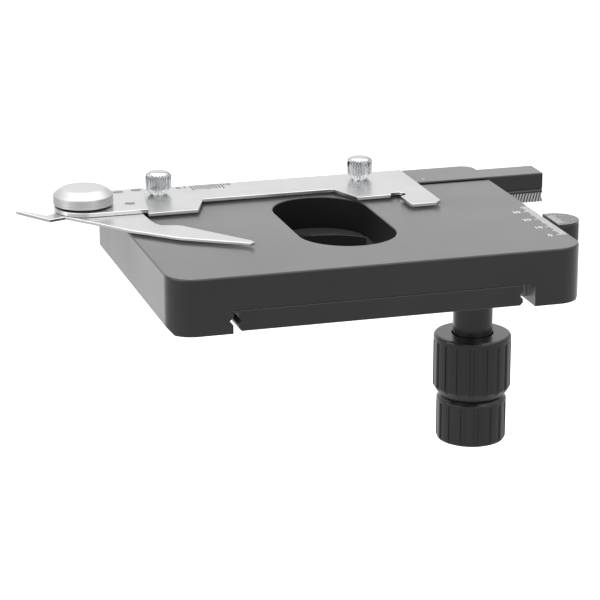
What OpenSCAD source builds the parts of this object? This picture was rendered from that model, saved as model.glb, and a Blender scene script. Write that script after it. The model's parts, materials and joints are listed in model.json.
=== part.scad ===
// Mechanical microscope stage with a ball guided plate, a ball guided slider
// and coaxial rack and pinion drives.
// Millimetres, +Z up. The origin is the centre of the base plate's underside,
// on the optical axis. X runs along the slider, Y along the plate's travel.

/* [Base plate] */
// Thickness of the base plate
base_t = 6.9; // [6.5:0.1:8]
// Diameter of the clear hole over the condenser
base_bore_d = 44; // [36:1:48]
// Spacing across X of the four mounting threads
mount_x = 60; // [56:1:64]
// Spacing across Y of the four mounting threads
mount_y = 70; // [62:1:78]
// Drill diameter of the M4 mounting threads
mount_hole_d = 3.3; // [3:0.1:3.6]
// Chamfer along the base plate's lower edges
base_edge = 1; // [0.6:0.1:1.4]

/* [Stage plate] */
// Width of the stage plate
stage_w = 140; // [136:1:150]
// Depth of the base plate, whose front is flush with the stage plate's
stage_d = 108; // [106:1:116]
// Reach of the rear rail behind the base plate
rear_reach = 2; // [1.5:0.1:2.5]
// Thickness of the web over the base plate
web_t = 11.1; // [10.5:0.1:13]
// Width of the side lugs up to the left ball groove
lug_w = 20.3; // [19.5:0.1:21]
// Depth of the side lugs below the base plate's underside
lug_drop = 0.7; // [0.4:0.1:1.2]
// Radius of the front corners
front_corner_r = 9; // [6:0.5:12]
// Radius of the rear corners
rear_corner_r = 5; // [3:0.5:5]
// Chamfer round the top edge
top_edge = 0.4; // [0.2:0.1:0.8]
// Chamfer along the lower outer edges of the lugs
lug_edge = 2; // [1:0.1:3]
// Width of the light opening
opening_w = 33; // [28:1:36]
// Length of the light opening
opening_l = 63; // [54:1:66]
// Chamfer round the light opening
opening_edge = 0.3; // [0.2:0.1:0.6]

/* [Plate guide] */
// Gap between the guide faces of the plate guide
guide_gap = 1.7; // [1.5:0.1:2]
// Diameter of the balls of the plate guide
guide_ball_d = 3; // [2.8:0.1:3.2]
// Height of the plate guide's ball row above the base plate's underside
guide_z = 3.45; // [3.2:0.05:3.6]
// Number of balls in each cage of the plate guide
guide_balls = 7; // [5:1:7]
// Distance between balls of the plate guide
guide_pitch = 12; // [11:0.5:13]
// Thickness of the cage strips of the plate guide
guide_cage_t = 0.8; // [0.6:0.1:0.9]
// Height of the cage strips of the plate guide
guide_cage_h = 4.4; // [4:0.1:4.6]
// Thickness of the gib rail
gib_t = 2.4; // [2.2:0.1:3]
// Length of the gib rail
gib_l = 92; // [88:1:98]
// Travel of the stage plate to each side of rest
travel_y = 15; // [12:0.5:15]

/* [Slider guide] */
// Gap between the guide faces of the slider guide
rail_gap = 1.2; // [1.1:0.05:1.3]
// Diameter of the balls of the slider guide
rail_ball_d = 1.6; // [1.5:0.05:1.7]
// Number of balls in each cage of the slider guide
rail_balls = 6; // [4:1:6]
// Distance between balls of the slider guide
rail_pitch = 15; // [13:0.5:16]
// Middle of the slider guide's cages at rest
rail_cage_x = 3; // [1:0.5:5]
// Thickness of the cage strips of the slider guide
rail_cage_t = 0.6; // [0.5:0.05:0.7]
// Height of the cage strips of the slider guide
rail_cage_h = 2.3; // [2.1:0.1:2.4]
// Depth of the rear rail
rear_rail_w = 7.35; // [7:0.05:8]
// Travel of the slider to the left of rest
travel_left = 26; // [20:1:26]
// Travel of the slider to the right of rest
travel_right = 48; // [40:1:48]

/* [Slider bar] */
// Depth of the slider bar across its top
slider_w = 11.15; // [10.8:0.05:12]
// Height of the slider bar
slider_h = 7.3; // [7:0.1:7.4]
// Distance of the slider's left end from the optical axis
slider_left = 64; // [60:1:68]
// Distance of the slider's right end from the optical axis
slider_right = 90.9; // [89.5:0.1:92]
// Height of the slider's top above the stage plate
slider_rise = 0.7; // [0.5:0.1:1]
// Thickness of the lip that covers the rear balls
slider_lip = 1.9; // [1.5:0.1:2.4]
// Height of the slider's ball row above its underside
rail_rise = 1.25; // [1.2:0.05:1.5]

/* [Specimen holder] */
// Thickness of the holder's sheet
sheet_t = 1.2; // [1:0.1:1.5]
// Overhang of the holder behind the slider
holder_overhang = 3.4; // [3:0.1:4]
// Overhang of the holder's rail part before the slider
holder_lead = 4.4; // [4:0.1:5]
// Overhang of the holder's two wide parts before the slider
lug_lead = 17.4; // [16.5:0.1:18]
// Length of the hook before the wide parts' front edges
hook_l = 14; // [12:0.5:15]
// Inner edge of the hook
hook_inner_x = 29.8; // [28:0.2:31]
// Right edge of the hook
hook_outer_x = 41.4; // [40:0.2:44]
// Radius of the relief in the hook's inner corner
hook_relief_r = 2.6; // [2:0.1:3]
// Left edge of the left wide part
holder_left_x = 59.5; // [59:0.1:60]
// Length of the left wide part's front edge
holder_lug_l = 17.5; // [16:0.5:18.5]
// Left corner of the right wide part
holder_step_x = 15; // [14:0.5:17]
// Slant of the wide parts' side edges
holder_slant = 5; // [4:0.5:6]
// Distance of the thumb screws' line behind the slider's front
screw_setback = 6.6; // [6.2:0.1:7]
// Left thumb screw's distance from the left wide part's left edge
screw_inset = 9.3; // [9:0.1:10.5]
// Right thumb screw's distance from the optical axis
screw_right_x = 23.3; // [22:0.1:25]

/* [Clip lever] */
// Pivot's distance to the left of the left wide part
pivot_reach = 19.8; // [19.2:0.1:20.5]
// Pivot's distance before the slider
pivot_lead = 4.9; // [4.5:0.1:5.5]
// Thickness of the pivot bracket
bracket_t = 1.4; // [1.2:0.1:1.6]
// Radius of the bracket's round end
bracket_r = 11; // [10.8:0.1:11.4]
// Radius of the lever's hub
hub_r = 10; // [9:0.1:10]
// Clearance between the lever and the bracket above it
lever_clear = 0.1; // [0.05:0.05:0.2]
// Diameter of the pivot pin
pin_d = 5; // [4.6:0.1:5.4]
// Diameter of the pivot cap
cap_d = 20.5; // [19.5:0.1:21]
// Height of the cap's upright rim
cap_rim_h = 3.4; // [3:0.1:3.8]
// Height of the cap's sloping shoulder
cap_cone_h = 2.1; // [1.8:0.1:2.4]
// Diameter of the cap's flat top
cap_flat_d = 13.6; // [12.5:0.1:14.5]
// Gap under the cap
cap_gap = 0.5; // [0.3:0.05:0.6]
// Angle by which the thumb tab is bent upwards
tab_bend = 16; // [10:1:22]
// Length of the thumb tab past its bend
tab_l = 11.5; // [10:0.5:13]

/* [Drive] */
// Distance of the drive's axis from the stage plate's right edge
drive_inset = 6.6; // [6.4:0.05:6.8]
// Module of the slider's rack and pinion
rail_module = 0.35; // [0.34:0.01:0.36]
// Teeth of the slider's pinion
rail_teeth = 27; // [26:1:27]
// Slant of the slider's rack teeth
rail_helix = 15; // [10:1:18]
// Height of the slider's rack
rail_rack_h = 3.5; // [3.3:0.1:3.6]
// Depth of the slider's rack
rail_rack_w = 5.9; // [5.4:0.1:6]
// Left end of the slider's rack
rail_rack_left = 13; // [10:0.5:13]
// Module of the base plate's rack and pinion
guide_module = 0.5; // [0.48:0.01:0.5]
// Teeth of the base plate's pinion
guide_teeth = 20; // [19:1:20]
// Height of the base plate's rack
guide_rack_h = 3.7; // [3.4:0.1:3.9]
// Length of the base plate's rack
guide_rack_l = 38; // [36:1:40]
// Diameter of the drive tube
tube_d = 14.4; // [14:0.1:14.8]
// Wall of the drive tube
tube_wall = 1.4; // [1.2:0.1:1.5]
// Diameter of the hollow outer shaft
outer_shaft_d = 7.4; // [7.2:0.1:7.6]
// Diameter of the inner shaft
inner_shaft_d = 5; // [4.8:0.1:5.2]
// Height of the plate guide's pinion
guide_pinion_h = 3.5; // [3.2:0.1:3.6]
// Thickness of the drive housing's flange
flange_t = 3.3; // [3:0.1:4]

/* [Knobs] */
// Diameter of the big knob
big_knob_d = 28.3; // [27:0.1:30]
// Height of the big knob
big_knob_h = 23; // [21:0.1:25]
// Depth of the big knob's top below the stage plate's top
big_knob_drop = 55.9; // [54:0.1:60]
// Number of ribs round the big knob
big_knob_ribs = 18; // [14:1:20]
// Diameter of the small knob
small_knob_d = 25.5; // [24:0.1:27]
// Height of the small knob
small_knob_h = 17.2; // [15:0.1:19]
// Number of ribs round the small knob
small_knob_ribs = 16; // [12:1:18]
// Gap between the two knobs
knob_gap = 0.3; // [0.2:0.05:0.5]
// Depth of the grooves between the ribs
groove_depth = 0.5; // [0.3:0.05:0.7]

/* [Hidden] */
$fn = 64;

// Overrun of every cut past the face that it opens
over = 1;
// Running gaps between sliding faces and small radial fits
slide_clear = 0.2;
gib_seat = 0.1;
fit_clear = 0.02;
run_clear = 0.06;
ball_clear = 0.02;
pocket_clear = 0.05;
seat_gap = 0.05;

// Heights of the stack, from the base plate's underside upwards
roof_z = base_t + slide_clear;
stage_top = roof_z + web_t;
slider_top = stage_top + slider_rise;
slider_z = slider_top - slider_h;
shelf_z = slider_z - slide_clear;
rail_z = slider_z + rail_rise;
rail_rack_z = slider_z - rail_rack_h;
rack_floor_clear = 0.2;
groove_floor_z = rail_rack_z - rack_floor_clear;

// Guide faces of the plate guide
base_w = stage_w - 2 * (lug_w + guide_gap);
lug_left_x = -base_w / 2 - guide_gap;
gib_x = base_w / 2 + guide_gap;
lug_right_x = gib_x + gib_t + gib_seat;
guide_row_x = base_w / 2 + guide_gap / 2;

// Guide faces of the slider guide
stage_back = stage_d / 2 + rear_reach;
rail_face_y = stage_back - rear_rail_w;
lip_gap = 0.1;
slider_back = rail_face_y - lip_gap;
rear_rail_top = slider_top - lip_gap;
slider_front = slider_back - slider_w;
slider_rear_face = rail_face_y - rail_gap;
step_y = slider_front - rail_gap;
front_row_y = step_y + rail_gap / 2;
rear_row_y = rail_face_y - rail_gap / 2;

// Drive axis, with the slanted rack's teeth just behind the slider's front
rail_mt = rail_module / cos(rail_helix);
rail_pitch_r = rail_mt * rail_teeth / 2;
rack_setback = 0.17;
drive_x = stage_w / 2 - drive_inset;
drive_y = slider_front + rack_setback + rail_module - rail_pitch_r;
rail_pinion_clear = 0.3;
rail_pinion_h = rail_rack_h - 1.5 * rail_pinion_clear;
rail_pinion_z = slider_z - rail_pinion_clear - rail_pinion_h;
rail_tip_r = rail_pitch_r + rail_module;
rail_pocket_r = rail_tip_r + rail_pinion_clear;
rail_pocket_top = rail_pinion_z + rail_pinion_h + 2 * rail_pinion_clear;

// Base plate's rack and its pinion under the right lug
guide_pitch_r = guide_module * guide_teeth / 2;
guide_pitch_x = drive_x - guide_pitch_r;
guide_rack_clear = 1;
guide_rack_top = -lug_drop - guide_rack_clear;
guide_rack_z = guide_rack_top - guide_rack_h;
rack_pad_w = 6.2;
rack_pad_x = base_w / 2 - base_edge - rack_pad_w;
flange_clear = 0.8;
flange_top = guide_rack_z - flange_clear;
flange_z = flange_top - flange_t;
guide_washer_t = 0.45;
guide_pinion_z = flange_top + guide_washer_t + seat_gap;
leg_l = 7;
leg_gap = 14;
leg_clear = 0.4;
leg_x = guide_pitch_x + guide_module + leg_clear;

// Knobs, hung from the stage plate's top
big_knob_top = stage_top - big_knob_drop;
big_knob_z = big_knob_top - big_knob_h;
small_knob_top = big_knob_z - knob_gap;
small_knob_z = small_knob_top - small_knob_h;
tube_seat = 2;
tube_z = big_knob_top - tube_seat;
tube_clear = 0.45;
outer_bore_d = inner_shaft_d + 2 * run_clear;

// Specimen holder's places, from the slider and its own left wide part
holder_back = slider_back + holder_overhang;
holder_rail_y = slider_front - holder_lead;
holder_front_y = slider_front - lug_lead;
hook_tip_y = holder_front_y - hook_l;
holder_lug_x = holder_left_x - holder_lug_l;
screw_line_y = slider_front + screw_setback;
screw_left_x = holder_left_x - screw_inset;
pivot_x = holder_left_x + pivot_reach;
pivot_y = slider_front - pivot_lead;

// Specimen holder's levels
sheet_z = slider_top;
sheet_top = sheet_z + sheet_t;
bracket_top = sheet_top + bracket_t;
lever_t = sheet_t - lever_clear;
cap_z = bracket_top + cap_gap;

// Ball seats: a ball lies on both flanks of a right-angled groove
groove_flank = 45;
function groove_depth_for(ball_d, gap) = ball_d * cos(groove_flank) - gap / 2;

// Screws, named by their thread
m2_d = 2;
m2_head_d = 3.2;
m3_d = 3;
m3_head_d = 5.5;
m3_head_h = 3;
small_screw_d = 2.5;
small_head_d = 4.2;
small_head_h = 2.2;
socket_share = 0.5;
socket_depth_share = 0.55;

// A bar along X with the given outline in Y and Z
module along_x(x0, x1) {
    translate([x0, 0, 0])
        rotate([90, 0, 90])
            linear_extrude(height = x1 - x0)
                children();
}

// A bar along Y with the given outline in X and Z
module along_y(y0, y1) {
    translate([0, y1, 0])
        rotate([90, 0, 0])
            linear_extrude(height = y1 - y0)
                children();
}

// Outline of a right-angled groove of depth dp, opening towards +x, with its
// mouth on the line x = 0
module vee(dp) {
    polygon([[-dp, 0], [over, dp + over], [over, -dp - over]]);
}

// The same groove opening towards -x
module vee_back(dp) {
    mirror([1, 0])
        vee(dp);
}

// A block between two corners
module block(a, b) {
    translate(a)
        cube(b - a);
}

// A slot along Y with round ends
module slot_y(x, y, half_l, r, z, h) {
    for (s = [-1, 1])
        translate([x, y + s * half_l, z])
            cylinder(h = h, r = r);
    block([x - r, y - half_l, z], [x + r, y + half_l, z + h]);
}

// A slot along X with round ends
module slot_x(x0, x1, y, r, z, h) {
    for (x = [x0, x1])
        translate([x, y, z])
            cylinder(h = h, r = r);
    block([x0, y - r, z], [x1, y + r, z + h]);
}

// A socket head screw standing on its head, thread upwards
module cap_screw(thread_d, head_d, head_h, length) {
    difference() {
        union() {
            translate([0, 0, -head_h])
                cylinder(h = head_h, d = head_d);
            cylinder(h = length, d = thread_d);
        }
        translate([0, 0, -head_h - over])
            cylinder(h = head_h * socket_depth_share + over, d = head_d * socket_share, $fn = 6);
    }
}

// A countersunk screw with its flat head at z = 0, thread downwards
module flat_screw(thread_d, head_d, length) {
    cone_h = (head_d - thread_d) / 2;
    slot_share = 0.16;
    difference() {
        union() {
            translate([0, 0, -cone_h])
                cylinder(h = cone_h, d1 = thread_d, d2 = head_d);
            translate([0, 0, -length])
                cylinder(h = length - cone_h, d = thread_d);
        }
        block([-head_d, -head_d * slot_share / 2, -cone_h * socket_share],
              [head_d, head_d * slot_share / 2, over]);
    }
}

// The hole for a flat screw, with the head's seat at z = 0
module flat_hole(thread_d, head_d, length) {
    cone_h = (head_d - thread_d) / 2;
    grown = 2 * fit_clear;
    translate([0, 0, -cone_h])
        cylinder(h = cone_h, d1 = thread_d + grown, d2 = head_d + grown);
    translate([0, 0, -length])
        cylinder(h = length, d = thread_d + grown);
    cylinder(h = over, d = head_d + grown);
}

// The four corners of the mounting pattern
mount_places = [for (i = [-1, 1], j = [-1, 1]) [i * mount_x / 2, j * mount_y / 2]];

// Screws of the base plate's rack
rack_end_inset = 2;
guide_rack_end = stage_d / 2 - rack_end_inset;
guide_rack_front = guide_rack_end - guide_rack_l;
rack_screw_inset = 6;
rack_screw_x = rack_pad_x + rack_pad_w / 2;
rack_screw_ys = [guide_rack_front + rack_screw_inset, guide_rack_end - rack_screw_inset];
rack_screw_l = 9;
rack_head_seat = guide_rack_z + m3_head_h / 2;

// Travel stop of the plate guide
stop_pin_d = 4;
stop_pin_inset = 10;
stop_pin_x = stop_pin_inset - base_w / 2;
stop_pin_up = 2.6;
stop_pin_down = 4.9;
stop_slot_clear = 0.3;
stop_slot_h = stop_pin_up + slide_clear;

// Vernier post at the stage's right edge
post_w = 15;
post_y = -19.6;
post_reach = 9.8;
post_gap = 0.9;
post_x = stage_w / 2 + post_gap;
post_foot_w = 9;
post_foot_x = base_w / 2 - base_edge - post_foot_w;
post_arm_t = 2.9;
post_arm_clear = 0.5;
post_arm_top = -lug_drop - post_arm_clear;
post_z = post_arm_top - post_arm_t;
post_screw_inset = 3.4;
post_screw_ys = [post_y - post_w / 2 + post_screw_inset, post_y + post_w / 2 - post_screw_inset];
post_screw_x = post_foot_x + post_foot_w / 2;
vernier_plate_t = 1;
plate_screw_shares = [[0.71, -0.24], [0.57, 0.31]];
plate_screw_places = [
    for (q = plate_screw_shares) [post_x + q[0] * post_reach, post_y + q[1] * post_w]
];
plate_screw_l = 5;

// The base plate: a flat bar with a ball groove in each flank
module base_plate() {
    dp = groove_depth_for(guide_ball_d, guide_gap);
    half = base_w / 2;
    color("#2b2d2e")
    difference() {
        along_y(-stage_d / 2, stage_d / 2)
            difference() {
                polygon([
                    [-half + base_edge, 0], [half - base_edge, 0], [half, base_edge],
                    [half, base_t], [-half, base_t], [-half, base_edge]
                ]);
                translate([half, guide_z])
                    vee(dp);
                translate([-half, guide_z])
                    vee_back(dp);
            }
        translate([0, 0, -over])
            cylinder(h = base_t + 2 * over, d = base_bore_d);
        for (p = mount_places)
            translate([p[0], p[1], -over])
                cylinder(h = base_t + 2 * over, d = mount_hole_d);
        for (y = rack_screw_ys)
            translate([rack_screw_x, y, -over])
                cylinder(h = base_t + 2 * over, d = m3_d + 2 * fit_clear);
        for (y = post_screw_ys)
            translate([post_screw_x, y, -over])
                cylinder(h = base_t + 2 * over, d = m3_d + 2 * fit_clear);
        translate([stop_pin_x, 0, base_t - stop_pin_down])
            cylinder(h = stop_pin_down + over, d = stop_pin_d + 2 * fit_clear);
    }
}

// Tooth form: pressure angle, and heights as shares of the module
pressure_angle = 20;
rack_root_share = 1.25;
pinion_root_share = 1.2;
pinion_tip_share = 0.95;
tooth_start_share = 0.02;
backlash = 0.06;

// Straight rack teeth: one tooth stands on each place of the list, pointing to
// +x, with its pitch line on x = 0
module rack_teeth(m, places) {
    pitch = PI * m;
    flank = tan(pressure_angle);
    half = pitch / 4 - backlash / 2;
    top = m;
    root = -rack_root_share * m;
    for (p = places)
        translate([0, p])
            polygon([
                [root - m, -half + root * flank], [root, -half + root * flank],
                [top, -half + top * flank], [top, half - top * flank],
                [root, half - root * flank], [root - m, half - root * flank]
            ]);
}

// Places of rack teeth between a and b, counted from a gap at the drive's axis
function tooth_places(a, b, pitch) = [
    for (k = [ceil(a / pitch - 0.5) : floor(b / pitch - 0.5)]) (k + 0.5) * pitch
];

// Outline of an involute gear with a tooth on +x: the half angle of a tooth at
// radius rho is a quarter pitch, less half the backlash, plus the difference
// of the involutes at the pitch circle and at rho
function involute(a) = tan(a) - a * PI / 180;
function half_angle(rho, pitch_r, teeth) =
    let (
        base_r = pitch_r * cos(pressure_angle),
        at = rho <= base_r ? 0 : acos(base_r / rho)
    )
    90 / teeth + (involute(pressure_angle) - involute(at) - backlash / pitch_r / 2) * 180 / PI;
function on_circle(r, a) = [r * cos(a), r * sin(a)];
module gear_outline(pitch_r, teeth, m) {
    root = pitch_r - pinion_root_share * m;
    low = pitch_r * cos(pressure_angle);
    tip = pitch_r + pinion_tip_share * m;
    radii = [root, max(root, low) + tooth_start_share * m, pitch_r, (pitch_r + tip) / 2, tip];
    polygon([
        for (i = [0 : teeth - 1])
            for (side = [-1, 1])
                for (k = [0 : len(radii) - 1])
                    let (
                        rho = radii[side < 0 ? k : len(radii) - 1 - k],
                        a = i * 360 / teeth + side * half_angle(rho, pitch_r, teeth)
                    )
                    on_circle(rho, a)
    ]);
}

// The base plate's rack, standing out under the right lug
module y_rack() {
    root_x = guide_pitch_x - rack_root_share * guide_module;
    color("#b9bcbd")
    difference() {
        union() {
            block([rack_pad_x, guide_rack_front, guide_rack_z],
                  [root_x, guide_rack_end, guide_rack_top]);
            block([rack_pad_x, guide_rack_front, guide_rack_top],
                  [rack_pad_x + rack_pad_w, guide_rack_end, 0]);
            translate([guide_pitch_x, drive_y, guide_rack_z])
                linear_extrude(height = guide_rack_h)
                    rack_teeth(guide_module,
                               tooth_places(guide_rack_front - drive_y + guide_module,
                                            guide_rack_end - drive_y - guide_module,
                                            PI * guide_module));
        }
        for (y = rack_screw_ys)
            translate([rack_screw_x, y, guide_rack_z]) {
                translate([0, 0, -over])
                    cylinder(h = rack_head_seat - guide_rack_z + over, d = m3_head_d + slide_clear);
                cylinder(h = guide_rack_h * 2, d = m3_d + 2 * fit_clear);
            }
    }
}

module y_rack_screws() {
    color("#4a4c4e")
    for (y = rack_screw_ys)
        translate([rack_screw_x, y, rack_head_seat])
            cap_screw(m3_d, m3_head_d, m3_head_h, rack_screw_l);
}

module y_stop_pin() {
    color("#b9bcbd")
    translate([stop_pin_x, 0, base_t - stop_pin_down])
        cylinder(h = stop_pin_down + stop_pin_up, d = stop_pin_d);
}

// Half-round outline of the vernier post between two heights
module post_body(z0, z1) {
    r = post_w / 2;
    cx = post_x + post_reach - r;
    difference() {
        union() {
            translate([cx, post_y, z0])
                cylinder(h = z1 - z0, r = r);
            block([post_x, post_y - r, z0], [cx, post_y + r, z1]);
        }
        block([cx - 2 * r, post_y - post_w, z0 - over], [post_x, post_y + post_w, z1 + over]);
    }
}

module vernier_post() {
    r = post_w / 2;
    color("#2b2d2e")
    difference() {
        union() {
            post_body(post_z, stage_top - vernier_plate_t);
            block([post_foot_x, post_y - r, post_z], [post_x, post_y + r, post_arm_top]);
            block([post_foot_x, post_y - r, post_arm_top],
                  [post_foot_x + post_foot_w, post_y + r, 0]);
        }
        for (y = post_screw_ys)
            translate([post_screw_x, y, post_z]) {
                translate([0, 0, -over])
                    cylinder(h = post_arm_t / 2 + over, d = m3_head_d + slide_clear);
                cylinder(h = base_t * 2, d = m3_d + 2 * fit_clear);
            }
        for (p = plate_screw_places)
            translate([p[0], p[1], stage_top - plate_screw_l - over])
                cylinder(h = plate_screw_l + over, d = m2_d + 2 * fit_clear);
    }
}

module vernier_plate() {
    color("#3a3c3d")
    difference() {
        post_body(stage_top - vernier_plate_t, stage_top);
        for (p = plate_screw_places)
            translate([p[0], p[1], stage_top])
                flat_hole(m2_d, m2_head_d, plate_screw_l);
    }
}

module vernier_plate_screws() {
    color("#8f9294")
    for (p = plate_screw_places)
        translate([p[0], p[1], stage_top])
            flat_screw(m2_d, m2_head_d, plate_screw_l);
}

module vernier_post_screws() {
    color("#4a4c4e")
    for (y = post_screw_ys)
        translate([post_screw_x, y, post_z + post_arm_t / 2])
            cap_screw(m3_d, m3_head_d, post_arm_t / 2, base_t);
}

// Ball places along a row
function row_places(count, pitch, middle) = [
    for (i = [0 : count - 1]) middle + (i - (count - 1) / 2) * pitch
];
guide_ys = row_places(guide_balls, guide_pitch, 0);
rail_xs = row_places(rail_balls, rail_pitch, rail_cage_x);

// A cage strip of the plate guide on the row at x
module guide_cage(x) {
    end_share = 0.5;
    l = (guide_balls - end_share) * guide_pitch;
    color("#b08d3c")
    difference() {
        block([x - guide_cage_t / 2, -l / 2, guide_z - guide_cage_h / 2],
              [x + guide_cage_t / 2, l / 2, guide_z + guide_cage_h / 2]);
        for (y = guide_ys)
            translate([x - guide_cage_t, y, guide_z])
                rotate([0, 90, 0])
                    cylinder(h = 2 * guide_cage_t, d = guide_ball_d + 2 * pocket_clear);
    }
}

module y_ball_cage_left() {
    guide_cage(-guide_row_x);
}

module y_ball_cage_right() {
    guide_cage(guide_row_x);
}

module y_balls() {
    color("#d5d8da")
    for (x = [-guide_row_x, guide_row_x], y = guide_ys)
        translate([x, y, guide_z])
            sphere(d = guide_ball_d - 2 * ball_clear);
}

// A plate of the stage's outline with round corners and a chamfered top edge
module stage_outline(z0, z1, edge) {
    w = stage_w / 2;
    f = stage_d / 2;
    d = stage_back;
    h = z1 - z0;
    translate([0, 0, z0]) {
        along_x(-w + front_corner_r, w - front_corner_r)
            polygon([[-f, 0], [0, 0], [0, h], [-f + edge, h], [-f, h - edge]]);
        along_x(-w + rear_corner_r, w - rear_corner_r)
            polygon([[0, 0], [d, 0], [d, h - edge], [d - edge, h], [0, h]]);
        along_y(-f + front_corner_r, d - rear_corner_r)
            polygon([[-w, 0], [w, 0], [w, h - edge], [w - edge, h], [-w + edge, h], [-w, h - edge]]);
        for (s = [-1, 1]) {
            translate([s * (w - front_corner_r), -f + front_corner_r, 0])
                rounded_post(front_corner_r, h, edge);
            translate([s * (w - rear_corner_r), d - rear_corner_r, 0])
                rounded_post(rear_corner_r, h, edge);
        }
    }
}

// A round post with a chamfered top edge
module rounded_post(r, h, edge) {
    cylinder(h = h - edge, r = r);
    translate([0, 0, h - edge])
        cylinder(h = edge, r1 = r, r2 = r - edge);
}

// Places that the stage plate shares with the parts screwed to it
rear_screw_shares = [-0.83, -0.29, 0.29, 0.83];
rear_screw_xs = [for (q = rear_screw_shares) q * stage_w / 2];
rear_screw_share = 0.55;
rear_screw_y = rail_face_y + rear_rail_w * rear_screw_share;
channel_clear = 2;
rear_floor_t = 2;
rear_head_seat = shelf_z - rear_floor_t;
rear_screw_l = 6;
gib_screw_shares = [-0.72, -0.15, 0.31];
gib_screw_ys = [for (q = gib_screw_shares) q * gib_l / 2];
gib_screw_l = 8;
housing_edge = stage_w / 2 - lug_edge;
housing_screw_x = (leg_x + housing_edge) / 2;
housing_screw_ys = [drive_y - leg_gap / 2 - leg_l / 2, drive_y + leg_gap / 2 + leg_l / 2];
housing_screw_l = 12;
tube_seat_share = 0.7;
bush_h = 5;
x_stop_d = 2;
x_stop_x = -11;
x_stop_y = slider_front + rack_setback + rail_rack_w + x_stop_d / 2 + 1.5 * slide_clear;
x_stop_down = 1.7;
x_stop_up = 2.2;

module stage_plate() {
    w = stage_w / 2;
    d = stage_back;
    guide_dp = groove_depth_for(guide_ball_d, guide_gap);
    rail_dp = groove_depth_for(rail_ball_d, rail_gap);
    end_half = (opening_l - opening_w) / 2;
    color("#2b2d2e")
    difference() {
        stage_outline(-lug_drop, stage_top, top_edge);
        // Room for the base plate, the balls and the gib rail
        block([lug_left_x, -d - over, -lug_drop - over], [lug_right_x, d + over, roof_z]);
        along_y(-d - over, d + over)
            translate([lug_left_x, guide_z])
                vee(guide_dp);
        // Chamfers along the lower outer edges
        for (s = [-1, 1])
            along_y(-d - over, d + over)
                polygon([
                    [s * (w + over), -lug_drop - over], [s * (w - lug_edge - over), -lug_drop - over],
                    [s * (w + over), -lug_drop + lug_edge + over]
                ]);
        // Light opening with a broken edge
        slot_y(0, 0, end_half, opening_w / 2, -lug_drop, stage_top + over + lug_drop);
        for (s = [-1, 1])
            translate([0, s * end_half, stage_top - opening_edge])
                cylinder(h = opening_edge + fit_clear,
                         r1 = opening_w / 2, r2 = opening_w / 2 + opening_edge + fit_clear);
        along_y(-end_half, end_half)
            polygon([
                [-opening_w / 2, stage_top - opening_edge], [opening_w / 2, stage_top - opening_edge],
                [opening_w / 2 + opening_edge + over, stage_top + over],
                [-opening_w / 2 - opening_edge - over, stage_top + over]
            ]);
        // Seat of the slider and of the rear rail
        block([-w - over, step_y, shelf_z], [w + over, d + over, stage_top + over]);
        along_x(-w - over, w + over)
            translate([step_y, rail_z])
                vee(rail_dp);
        block([rail_rack_left - travel_left - channel_clear, step_y, groove_floor_z],
              [w + over, slider_front + rack_setback + rail_rack_w + slide_clear, shelf_z + over]);
        // Bore for the pinion, open from below, where the shaft's bush closes it
        translate([drive_x, drive_y, -lug_drop - over])
            cylinder(h = rail_pocket_top + lug_drop + over, r = rail_pocket_r);
        // Screws of the rear rail, from below
        for (x = rear_screw_xs)
            translate([x, rear_screw_y, roof_z - over]) {
                cylinder(h = rear_head_seat - roof_z + over, d = small_head_d + slide_clear);
                cylinder(h = rear_screw_l + 2 * over, d = small_screw_d + 2 * fit_clear);
            }
        // Gib screws, from the right side
        for (y = gib_screw_ys)
            translate([lug_right_x - over, y, guide_z])
                rotate([0, 90, 0])
                    cylinder(h = w, d = m3_d + 2 * fit_clear);
        // Threads for the drive housing
        for (y = housing_screw_ys)
            translate([housing_screw_x, y, -lug_drop - over])
                cylinder(h = roof_z, d = m3_d + 2 * fit_clear);
        // Slots of the two travel stops
        slot_y(stop_pin_x, 0, travel_y, stop_pin_d / 2 + stop_slot_clear, roof_z - over, stop_slot_h + over);
        slot_x(x_stop_x - travel_left, x_stop_x + travel_right, x_stop_y,
               x_stop_d / 2 + slide_clear, shelf_z - x_stop_down - slide_clear, x_stop_down + over);
    }
}

module rear_rail() {
    w = stage_w / 2;
    d = stage_back;
    color("#2b2d2e")
    difference() {
        stage_outline(shelf_z, rear_rail_top, top_edge);
        block([-w - over, -d - over, shelf_z - over], [w + over, rail_face_y, slider_top + over]);
        along_x(-w - over, w + over)
            translate([rail_face_y, rail_z])
                vee_back(groove_depth_for(rail_ball_d, rail_gap));
        for (x = rear_screw_xs)
            translate([x, rear_screw_y, shelf_z - over])
                cylinder(h = rear_screw_l, d = small_screw_d + 2 * fit_clear);
    }
}

module rear_rail_screws() {
    color("#4a4c4e")
    for (x = rear_screw_xs)
        translate([x, rear_screw_y, rear_head_seat])
            cap_screw(small_screw_d, small_head_d, small_head_h, rear_screw_l);
}

module gib_rail() {
    dp = groove_depth_for(guide_ball_d, guide_gap);
    gib_foot = 0.5;
    color("#9a9da0")
    along_y(-gib_l / 2, gib_l / 2)
        difference() {
            translate([gib_x, gib_foot])
                square([gib_t, roof_z - slide_clear - gib_foot]);
            translate([gib_x, guide_z])
                vee_back(dp);
        }
}

module gib_screws() {
    color("#4a4c4e")
    for (y = gib_screw_ys)
        translate([gib_x + gib_t, y, guide_z])
            rotate([0, 90, 0])
                difference() {
                    cylinder(h = gib_screw_l, d = m3_d);
                    translate([0, 0, gib_screw_l - m3_d * socket_share])
                        cylinder(h = m3_d, d = m3_d * socket_share, $fn = 6);
                }
}

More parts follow.
